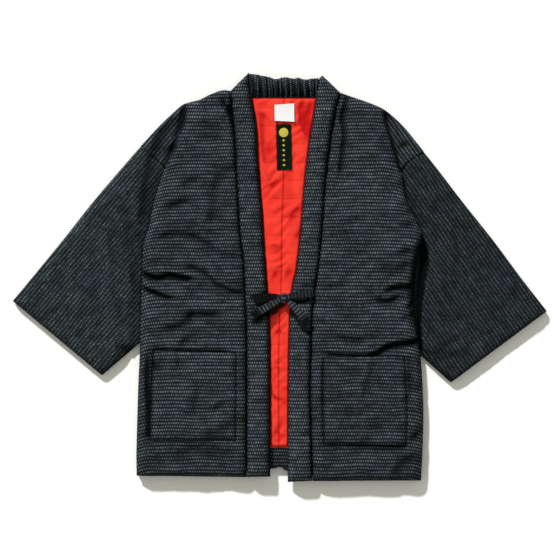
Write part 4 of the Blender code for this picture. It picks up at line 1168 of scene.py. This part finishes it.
def sleeve_height(half, points):
    """Height of the top of a sleeve, and its painted shade: low where it is tucked under
    the front's side, and on the right with a deep gap beside the body. The shade is painted
    in the creases, at the armhole, along the cuff and the lower edge, beside the body, and in
    full on the gap's floor."""
    x, y = points[..., 0], points[..., 1]
    side_top = half.side[0][1]
    to_side = away(points, half.side)
    to_lower = away(points, half.lower)
    to_cuff = away(points, half.cuff)
    to_armhole = away(points, half.armhole)
    rise = swell(away(points, half.upper), SLEEVE_ROLL) * swell(to_lower, SLEEVE_ROLL)
    rise *= raised(CUFF_LOW, swell(to_cuff, CUFF_ROLL)) * raised(ARMHOLE_LOW, ease(to_armhole, 0, 10))
    full = SLEEVE_EDGE + (SLEEVE_TOP - SLEEVE_EDGE) * rise
    creases = crease_depth("sleeve_" + half.name, points)
    seed = SLEEVE_SEED[half.sign]
    full += rise * rumpled(points, seed, tall=0.55) - creases
    full += puckers(points, half.cuff, depth=0.5, pitch=16, reach=10, seed=seed + 4)
    full -= fade(to_armhole, *ARMHOLE_DIP)
    out = half.sign * (x - at_height(half.side, np.clip(y, None, side_top))[..., 0]) > 0
    clear = np.where(out | (y > side_top), to_side, 0)
    free = ease(clear, 6, 28)
    height = np.minimum(full, SLEEVE_TUCKED) * (1 - free) + full * free

    # Painted shade in creases, at the armhole, along the cuff and lower edge, and beside the body
    painted_shade = np.clip(creases / SLEEVE_CREASE_DARK, 0, 1) + fade(to_armhole, *SLEEVE_ARMHOLE_DARK)
    painted_shade += fade(to_cuff, *CUFF_DARK) + fade(to_lower, *CUFF_DARK)
    beside_body = TUCKED_DARK * (1 - ease(clear, 0, 12)) + fade(clear, *UNDERARM_DARK)
    painted_shade += beside_body * (y < side_top)
    if half.sign > 0:
        edge = smoothed(GAP_RIGHT)
        level = (y < edge[0][1]) & (y > edge[-1][1])
        beyond = level & (x > at_height(edge, y)[..., 0])
        inside = level & ~beyond & out
        bank = np.minimum(full, BANK_LOW + BANK_RISE * swell(away(points, edge), BANK_ROLL))
        height = np.where(inside, GAP_FLOOR, np.where(beyond, bank, height))
        # The gap's floor is painted in full shade, the bank beyond it in none
        painted_shade = np.where(inside, 1.0, np.where(beyond, 0.0, painted_shade))
    return np.clip(height, GAP_FLOOR, None), np.clip(painted_shade, 0, 1)


def sleeve(half, material):
    """A flattened tube: rings from the armhole to the cuff, a rolled lip, and the hollow."""
    across = spread(SLEEVE_ACROSS, 5)
    run = spread(SLEEVE_ALONG, 5)
    plan = sleeve_plan(half, across, run)
    top, painted_shade = sleeve_height(half, plan)
    cuff_row = sleeve_plan(half, across, np.array([1.0]))[0]
    outward = half.cuff[1] - half.cuff[0]
    outward = half.sign * np.array([-outward[1], outward[0]]) / np.linalg.norm(outward)
    angles = np.radians(SLEEVE_RIM_TURNS)
    rim_in = SLEEVE_RIM_IN * (1 - np.cos(angles))
    rim_high = SLEEVE_EDGE * (1 - np.sin(angles))
    floor_shares = np.linspace(0, 1, len(across) - 2 * len(angles) + 2)[1:-1]

    def section(row, heights):
        """One ring round the sleeve: plan points, heights and places on the cloth."""
        width = np.linalg.norm(row[-1] - row[0])
        inward = (row[-1] - row[0]) / width
        lower = row[-1] - rim_in[:, None] * inward
        upper = row[0] + rim_in[:, None] * inward
        floor = lower[-1] + floor_shares[:, None] * (upper[-1] - lower[-1])
        points = np.vstack([row, lower, floor, upper[::-1]])
        high = np.concatenate([heights, rim_high, 0 * floor_shares, rim_high[::-1]])
        half_count = len(floor_shares) // 2
        drop = np.concatenate([SLEEVE_EDGE - rim_high,
                               SLEEVE_EDGE + floor_shares[:half_count] * (width - 2 * SLEEVE_RIM_IN)])
        cloth = np.vstack([row, row[-1] + drop[:, None] * inward, row[0] - drop[::-1, None] * inward])
        return points, high, cloth

    form = Form()
    rings = []
    for row, heights in zip(plan, top):
        points, high, cloth = section(row, heights)
        rings.append(form.add(points, high, cloth))
    ring_size = len(rings[0])
    form.painted_shade = np.zeros((len(plan), ring_size))
    form.painted_shade[:, :len(across)] = painted_shade
    outside, outside_high, outside_cloth = section(cuff_row, np.minimum(top[-1], SLEEVE_TOP - 4))
    hollow = outside.copy()
    hollow_high = np.full(len(outside), SLEEVE_HOLLOW[1])
    hollow_high[len(cuff_row) + 2:-2] = SLEEVE_HOLLOW[0]
    middle = hollow.mean(axis=0)
    hollow = middle + HOLLOW_SHARE * (hollow - middle)
    for distance, share in CUFF_LIP:
        points = hollow + share * (outside - hollow) - distance * outward
        high = hollow_high + share * (outside_high - hollow_high)
        rings.append(form.add(points, high, outside_cloth + (4 - distance) * outward))
    for first, second in zip(rings, rings[1:]):
        form.faces += bridge(first, second)
    for ring, turn in ((rings[0], 1), (rings[-1], -1)):
        upper_chain = ring[:len(across)]
        under_chain = ring[:len(across) - 1:-1]
        form.faces += [(a, b, c, d)[::turn] for a, b, c, d in
                       zip(upper_chain, upper_chain[1:], under_chain[1:], under_chain)]

    def lay(points, centres):
        woven = turned(points, half.sign * -SLEEVE_TURN[half.sign])
        woven[:, 1] += 1.4 * unevenness(points, pitch=50, seed=5)
        return woven

    tube = add_piece("sleeve_%s_cloth" % half.name, form, material, ["sleeve_" + half.name],
                     lay)


def back(half, material):
    """One half of the back, from the centre seam to the side, the armhole and the shoulder."""
    seam = smoothed(BACK_SEAM, 12)
    seam = seam[seam[:, 1] < NECK_LINE]
    seam = np.vstack([at_height(smoothed(BACK_SEAM), NECK_LINE), seam])
    seam = seam + [half.sign * GAP, 0]
    armhole = along(half.armhole_whole, spread(SLEEVE_ACROSS, 3)) - [half.sign * GAP, 0]
    shoulder = along(half.shoulder, np.linspace(0.03, 1, 48))[:-1]
    below = half.side[half.side[:, 1] < armhole[-1][1] - 6]
    below = below[below[:, 1] > half.back_hem[-1][1] + 6]
    hem = along(half.back_hem, np.linspace(0, 1, 40))
    neck = [half.shoulder[0, 0] - 2 * half.sign, min(NECK_LINE, half.shoulder[0, 1] - 0.5)]
    outline = np.vstack([neck, shoulder, armhole, below, hem[::-1][:-1], seam[::-1][1:]])
    form = Form()
    ring = form.add(inset(outline, BACK_TOP_INSET), BACK_TOP)
    form.faces.append(tuple(ring))
    for height, distance in BACK_RIM:
        level = form.add(inset(outline, distance), height, inset(outline, height - BACK_TOP))
        form.faces += bridge(ring, level)
        ring = level
    form.faces.append(tuple(ring[::-1]))
    panel = add_piece("back_%s_cloth" % half.name, form, material, ["back_" + half.name])


def tie_shadow(where, points):
    """The painted shadow of the ties' tails: how much darker the cloth is under them, from 0 to 1."""
    dark = np.zeros(points.shape[:-1])
    for place, depth, reach, route in TIE_SHADOW:
        if place == where:
            dark += hump(away(points, smoothed(route)), depth, reach, power=4)
    return dark


def lining_height(points):
    """Height of the lining's top, and its painted shade: puffed between its quilting rows
    and its centre seam, and flat where the collars lie on it. The shade is painted along the
    centre seam and the quilting rows, in the creases and the folds' low parts and at the
    collars' edges, and the ties' painted shadow adds up to 2."""
    x, y = points[..., 0], points[..., 1]
    to_seam = np.abs(x - at_height(smoothed(BACK_SEAM), y)[..., 0])
    row = np.abs(np.sin(math.pi * (y - STITCH_FROM) / STITCH_PITCH))
    left = x - at_height(LEFT.collar_inner, y)[..., 0]
    right = at_height(RIGHT.collar_inner, y)[..., 0] - x
    nearer = np.minimum(left, right)
    past_facing = ease(y, FACING_TOP, FACING_TOP + FACING_STEP)
    open_part = ease(nearer, 0, OPEN_STEP) * past_facing
    open_part *= 1 - ease(y, NECK_SEAM - NECK_STEP, NECK_SEAM)
    puff = row ** 0.8 * swell(to_seam, 9)
    lifted = ease(left, 0, 3) * (1 + fade(left, depth=0.6, reach=14)) * ease(right, -1, 3.5)
    lifted *= past_facing * (1 - ease(y, NECK_SEAM - NECK_TUCK, NECK_SEAM))
    height = LINING_LOW + LINING_RISE * lifted + LINING_PUFF * puff * open_part
    drift = 9 * unevenness(points, pitch=46, seed=61)
    slanted = turned(points, 38) + drift[..., None]
    strong = ease(unevenness(points, pitch=34, seed=62), -0.3, 0.6)
    folds = 0.6 * strong * np.sin(slanted[..., 1] / 3.1)
    folds += 0.5 * unevenness(points * [1.0, 0.4], pitch=21, seed=63)
    creases = crease_depth("lining", points)
    to_knot = np.linalg.norm(points - KNOT_CENTRE, axis=-1)
    height += open_part * (folds - creases) + hump(to_knot, *KNOT_RISE)

    # Painted shade along the seam and rows, in creases and folds and at the collars' edges, with the
    # ties' painted shadow up to 2
    painted_shade = fade(to_seam, *LINING_SEAM_DARK) + hump(row, *QUILTING_DARK) * open_part
    painted_shade = np.clip(painted_shade + 1.25 * creases + 0.8 * np.clip(-folds - 0.1, 0, 1), 0, 1)
    under = np.clip(1 - nearer / 1.5, 0, 1)
    painted_shade = np.clip(painted_shade + under, 0, 1) + 2 * tie_shadow("lining", points)
    return np.maximum(height, FRONT_UNDER + 0.4), np.clip(painted_shade, 0, 2)


def lining(half, material):
    """One half of the red lining that shows between the collars, quilted in rows."""
    top_y = NECK_SEAM + NECK_TUCK
    heights = np.linspace(top_y, FACING_TOP + GAP, LINING_FINE[0])
    seam = at_height(smoothed(BACK_SEAM), heights) + [half.sign * GAP / 2, 0]
    under = at_height(half.collar_inner, heights) + [half.sign * UNDER_COLLAR, 0]
    shares = np.linspace(0, 1, LINING_FINE[1])
    plan = seam[:, None] + shares[:, None] * (under - seam)[:, None]
    top, painted_shade = lining_height(plan)
    covered = half.sign * (plan[..., 0] - at_height(half.collar_inner, plan[..., 1])[..., 0]) > -1
    top = np.where(covered, np.minimum(top, COLLAR_UNDER - 0.2), top)
    form = padded_form(plan, top, FRONT_UNDER, THIN_RIM)
    form.painted_shade = painted_shade
    sheet = add_piece("lining_%s_cloth" % half.name, form, material, ["lining_" + half.name])


def hem_facing(material):
    """The outer cloth turned up inside the back's hem."""
    shares = np.linspace(0, 1, 25)
    rows = []
    for y in np.linspace(FACING_TOP, FACING_FOOT, 14):
        low = at_height(LEFT.collar_inner, y) - [UNDER_COLLAR, 0]
        high = at_height(RIGHT.collar_inner, y) + [UNDER_COLLAR, 0]
        rows.append(low + shares[:, None] * (high - low))
    plan = np.array(rows)
    top = LINING_HIGH + 0.2 * unevenness(plan, pitch=12, seed=71)
    top[[0, -1]] = LINING_LOW
    form = padded_form(plan, top, FRONT_UNDER, THIN_RIM)
    strip = add_piece("back_hem_facing_cloth", form, material, ["back_hem_facing"])


def collar_under(points):
    """Underside of the collar: on the lining, and down to the surface past the neck line."""
    return COLLAR_UNDER * (1 - ease(points[..., 1], NECK_LINE + 4, NECK_LINE + 20))


def collar_height(half, points):
    foot = np.array([half.collar_inner[-1], half.collar_outer[-1]])
    peak = np.array([half.collar_inner[0], half.collar_outer[0]])
    rise = swell(away(points, half.collar_inner), COLLAR_ROLL_IN)
    rise *= raised(SEAM_LOW, swell(away(points, half.collar_outer), COLLAR_ROLL_OUT))
    rise *= swell(away(points, foot), COLLAR_ROLL_FOOT) * swell(away(points, peak), COLLAR_ROLL_PEAK)
    rise *= 1 - hump(points[..., 1] - TIED_AT, *TIED_DIP)
    return COLLAR_EDGE + (COLLAR_TOP - COLLAR_EDGE) * rise


def across_collar(half):
    """The weave of a collar run: rows across the band, followed along it."""
    def lay(points, centres):
        inner = at_height(half.collar_inner, points[:, 1])
        run = lengths_of(half.collar_inner[::-1])
        at = np.interp(points[:, 1], half.collar_inner[::-1, 1], run)
        return np.stack([points[:, 0] - inner[:, 0], at], axis=1)
    return lay


def collar_run(half, material):
    """The collar band along one front, from the hem to the peak beside the neck."""
    steps = np.concatenate([spread(COLLAR_FOOT, 3)[:-1], np.linspace(COLLAR_FOOT[-1], COLLAR_PEAK, 250),
                            np.linspace(COLLAR_PEAK, 1, 20)[1:]])
    outer, inner = (at_height(line, line[-1][1] + steps * (line[0][1] - line[-1][1]))
                    for line in (half.collar_outer, half.collar_inner))
    shares = spread(COLLAR_ACROSS, 3)
    plan = inner[:, None] + shares[:, None] * (outer - inner)[:, None]
    seed = COLLAR_SEED[half.sign]
    gathers = puckers(plan, half.collar_outer, depth=2.0, pitch=16, reach=10, seed=seed)
    gathers += puckers(plan, half.collar_inner, depth=1.4, pitch=21, reach=10, seed=seed + 2)
    lumps = 2.0 * unevenness(plan * [0.45, 1.0], pitch=20, seed=seed + 4)
    lumps += 1.0 * unevenness(plan, pitch=10, seed=seed + 5)
    creases = crease_depth("collar_" + half.name, plan)
    to_seam = away(plan, half.collar_outer)
    top = collar_height(half, plan) + gathers + lumps - creases - fade(to_seam, *BAND_DIP)
    under = collar_under(plan)
    form = padded_form(plan, np.maximum(top, under + THINNEST), under)
    # Painted shade along the seam, in creases and the gathers' hollows, along the inner edge and under
    # the ties' tails
    painted_shade = fade(to_seam, SEAM_DARK, seam_reach(plan[..., 1], BAND_SEAM_REACH))
    painted_shade += creases / COLLAR_CREASE_DARK - 0.16 * np.minimum(gathers, 0)
    painted_shade += hump(away(plan, half.collar_inner), *COLLAR_INNER_DARK[half.sign])
    painted_shade += tie_shadow(half.name, plan)
    form.painted_shade = np.clip(painted_shade, 0, 1)
    band = add_piece("collar_%s_cloth" % half.name, form, material,
                     ["collar_" + half.name], across_collar(half))


def collar_neck(material):
    """The collar behind the neck, its inner face gathered into uneven ripples."""
    rim = smoothed(NECK_RIM)
    order = np.argsort(rim[:, 0])
    heights = spread(NECK_UP, 3)
    plan = []
    for share in heights:
        y_left = NECK_SEAM + share * (NECK_TOP_LEFT - NECK_SEAM)
        y_right = NECK_SEAM + share * (NECK_TOP_RIGHT - NECK_SEAM)
        low = at_height(LEFT.collar_inner, y_left)[0] + GAP + 0.1
        high = at_height(RIGHT.collar_inner, y_right)[0] - GAP - 0.1
        x = np.linspace(low, high, NECK_COLUMNS)
        top_y = np.interp(x, rim[order, 0], rim[order, 1])
        plan.append(np.stack([x, NECK_SEAM + share * (top_y - NECK_SEAM)], axis=1))
    plan = np.array(plan)
    x = plan[..., 0]
    up = heights[:, None]
    wave = np.sin(x * 0.52 + 1.2 * np.sin(x * 0.07)) + 0.45 * np.sin(x * 0.83 + 0.9)
    lean = ease(up, -0.1, 0.8) * raised(0.55, swell(1 - up, 0.25))
    ends = ease(np.minimum(x - x[:, :1], x[:, -1:] - x), -3, 6)
    lumps = unevenness(plan * [1.0, 0.5], pitch=9, seed=121) + 0.7 * unevenness(plan, pitch=5, seed=122)
    free = ends * np.minimum(1, 5 * up * (1.15 - up))
    top = NECK_EDGE + (NECK_TOP - NECK_EDGE) * lean + (2.6 * wave + 1.9 * lumps) * free

    def lay(points, centres):
        drift = 2.5 * unevenness(points, pitch=12, seed=123)
        return np.stack([points[:, 1], 1.25 * points[:, 0] + drift], axis=1)

    form = padded_form(plan, top, collar_under(plan))
    # Painted shade: darkest at the foot of the inner face and in the ripples' troughs
    form.painted_shade = np.clip(1.02 - 1.6 * up - 0.52 * wave, 0, 1)
    band = add_piece("collar_neck_cloth", form, material,
                     ["collar_neck"], lay)


def collar_top(x, y):
    """Height of whatever collar lies at a point, or nothing."""
    heights = []
    for half in (LEFT, RIGHT):
        inner = at_height(half.collar_inner, y)[0]
        outer = at_height(half.collar_outer, y)[0]
        if min(inner, outer) <= x <= max(inner, outer):
            heights.append(float(collar_height(half, np.array([x, y]))))
    return max(heights, default=0.0)


def ribbon(name, route, material):
    """A flat tie of one width after another, laid over the collar or held over the opening."""
    table = points_of(route)
    dense = smoothed(table[:, :2], 1.6)
    run = lengths_of(dense)
    knots = [run[np.argmin(np.linalg.norm(dense - row[:2], axis=1))] for row in table]
    width = np.interp(run, knots, table[:, 3])
    tangent = np.gradient(dense, axis=0)
    tangent /= np.linalg.norm(tangent, axis=1)[:, None]
    side = np.stack([-tangent[:, 1], tangent[:, 0]], axis=1)
    levels = [clear if clear > 5 else max(collar_top(x + off, y) for off in (0, 4, -4)) + clear + 0.5
              for x, y, clear, _ in table]
    level = np.interp(run, knots, levels)
    shares = np.array([*(-share for share in TIE_HALF[::-1]), 0, *TIE_HALF])
    plan = dense[:, None] + shares[:, None] * (width[:, None] * side)[:, None]
    crown = raised(0.3, swell(0.5 - np.abs(shares), 0.12))
    under = np.repeat(level[:, None], len(shares), axis=1)
    gathered = hump(np.linalg.norm(dense - KNOT_CENTRE, axis=1), depth=0.6, reach=24)[:, None]
    folds = gathered * (np.cos(2 * math.pi * 3.2 * shares + 0.8) - 0.2)
    top = under + TIE_THICK * crown + np.minimum(folds, 0.1)
    top += 0.15 * unevenness(plan, pitch=7, seed=101)
    form = padded_form(plan, top, under)
    # Painted shade at the tie's root and free end, and along both its edges
    share = (run / run[-1])[:, None]
    first, last = TIE_SHADE[name]
    painted_shade = first * (1 - ease(share, 0.3, 0.45)) + last * ease(share, 0.84, 0.9)
    form.painted_shade = np.clip(painted_shade + 0.35 * (np.abs(shares) > 0.44), 0, 1)
    cloth = np.stack(np.broadcast_arrays(shares * 22, run[:, None]), axis=-1).reshape(-1, 2)
    form.cloth = [*cloth, *cloth]
    tie = add_piece(name + "_cloth", form, material, [name])


def knot(material):
    """The band of cloth wrapped round both ties where they cross."""
    low = TIE_LEFT[5][2] - KNOT_SLACK
    high = TIE_RIGHT[5][2] + TIE_THICK + KNOT_SLACK
    axes = axes_at(KNOT_TILT)
    angles = 2 * math.pi * np.arange(KNOT_POINTS) / KNOT_POINTS
    square = (np.abs(np.cos(angles)) ** 4 + np.abs(np.sin(angles)) ** 4) ** -0.25
    form = Form()
    rings = []
    for share, wall in KNOT_SECTIONS:
        uneven = wall * KNOT_WALL * (1 + 0.06 * np.sin(3 * angles + 5 * share))
        shift = share * KNOT_WIDE * (1 + 0.10 * np.cos(2 * angles))
        across = (0.5 * KNOT_INSIDE + uneven) * square * np.cos(angles)
        rise = (0.5 * (high - low) + uneven) * square * np.sin(angles)
        points = np.stack([shift, across], axis=1) @ axes + KNOT_CENTRE
        cloth = np.stack([np.full(KNOT_POINTS, 1.4 * share * KNOT_WIDE), 9 * angles], axis=1)
        rings.append(form.add(points, 0.5 * (high + low) + rise, cloth))
    for first, second in zip(rings, rings[1:] + rings[:1]):
        form.faces += bridge(first, second)
    band = add_piece("tie_knot_cloth", form, material, ["tie_knot"])


def label(name, sizes, material):
    x, y, width, length, tilt, lift = sizes
    local = np.stack(np.meshgrid(np.linspace(-0.5, 0.5, LABEL_COLUMNS) * width,
                                 np.linspace(0.5, -0.5, LABEL_ROWS) * length), axis=-1)
    under = LABEL_BED + lift * (0.5 - local[..., 1] / length) ** 2
    local[..., 1] *= 1 + 2 * LABEL_FLARE[name] * local[..., 0] / width
    plan = local @ axes_at(tilt) + [x, y]
    top = under + LABEL_THICK + 0.12 * unevenness(plan, pitch=11, seed=111)
    form = padded_form(plan, top, under)
    tag = add_piece(name + "_cloth", form, material, [name])


def gold_marks(material):
    """A plain disc and six plain diamonds, woven on the dark label in gold."""
    axes = axes_at(LABEL_DARK[4])
    form = Form()
    height = LABEL_BED + LABEL_THICK + 0.35

    def plate(x, y, size, count):
        angles = 2 * math.pi * np.arange(count) / count
        corners = np.stack([np.cos(angles), np.sin(angles)], axis=1) * size + [x, y]
        corners = corners @ axes + LABEL_DARK[:2]
        ring = form.add(corners, height - 0.25)
        crown = form.add(corners + 0.12 * (corners.mean(axis=0) - corners), height)
        foot = form.add(corners, height - 0.6)
        form.faces.extend([tuple(crown), *bridge(ring, crown), *bridge(foot, ring), tuple(foot[::-1])])

    plate(-0.2, DISC_Y, DISC_SIZE, 40)
    for k in range(6):
        plate(-0.6, DIAMOND_Y - DIAMOND_PITCH * k, DIAMOND_SIZE, 4)
    add_piece("label_dark_marks", form, material, [])


def build():
    # Lit and shaded copies of the outer cloth, one for each kind of piece: painted light and shade
    cloths = {name: outer_cloth(name) for name in CLOTHS}
    red = red_cotton()
    for half in (LEFT, RIGHT):
        back(half, cloths["body"])
        lining(half, red)
        front(half, cloths["body"], cloths["pocket_" + half.name])
        sleeve(half, cloths["sleeve_" + half.name])
        collar_run(half, cloths["band"])
    # The facing takes a much darker copy of the cloth, painted shade
    hem_facing(cloths["inside"])
    collar_neck(cloths["neck"])
    ribbon("tie_left", TIE_LEFT, cloths["tie"])
    ribbon("tie_right", TIE_RIGHT, cloths["tie"])
    knot(cloths["tie"])
    label("label_white", LABEL_WHITE, tape("label_white", WHITE, WHITE_DEEP, specular=0.15))
    label("label_dark", LABEL_DARK, tape("label_dark", GREEN_BLACK, GREEN_LIGHT, specular=0.03))
    gold_marks(gold_thread())


def stage():
    mesh = bpy.data.meshes.new("floor")
    corners = [(x * FLOOR_HALF, y * FLOOR_HALF, 0) for x, y in ((-1, -1), (1, -1), (1, 1), (-1, 1))]
    mesh.from_pydata(corners, [], [(0, 1, 2, 3)])
    mesh.materials.append(floor_material())
    floor = placed("floor", mesh)

    world = bpy.data.worlds.new("studio")
    bpy.context.scene.world = world
    world.use_nodes = True
    world.node_tree.nodes["Background"].inputs["Color"].default_value = SKY
    world.node_tree.nodes["Background"].inputs["Strength"].default_value = SKY_STRENGTH

    sun = bpy.data.lights.new("key", "SUN")
    sun.energy = SUN_STRENGTH
    sun.angle = math.radians(SUN_WIDTH)
    lamp = placed("key", sun)
    travel = Vector((-LIGHT_FROM[0], -LIGHT_FROM[1], -math.tan(math.radians(SUN_HEIGHT))))
    lamp.rotation_mode = "QUATERNION"
    lamp.rotation_quaternion = travel.to_track_quat("-Z", "Y")

    camera_data = bpy.data.cameras.new("camera")
    camera_data.sensor_width = SENSOR
    camera_data.lens = SENSOR * (CAMERA_AT[2] - CLOTH_LEVEL) / (PICTURE * MM_A_PIXEL * MM)
    camera = placed("camera", camera_data)
    camera.matrix_world = Matrix.Translation(CAMERA_AT)
    bpy.context.scene.camera = camera
    bpy.context.scene.view_settings.view_transform = "Standard"


build()
stage()
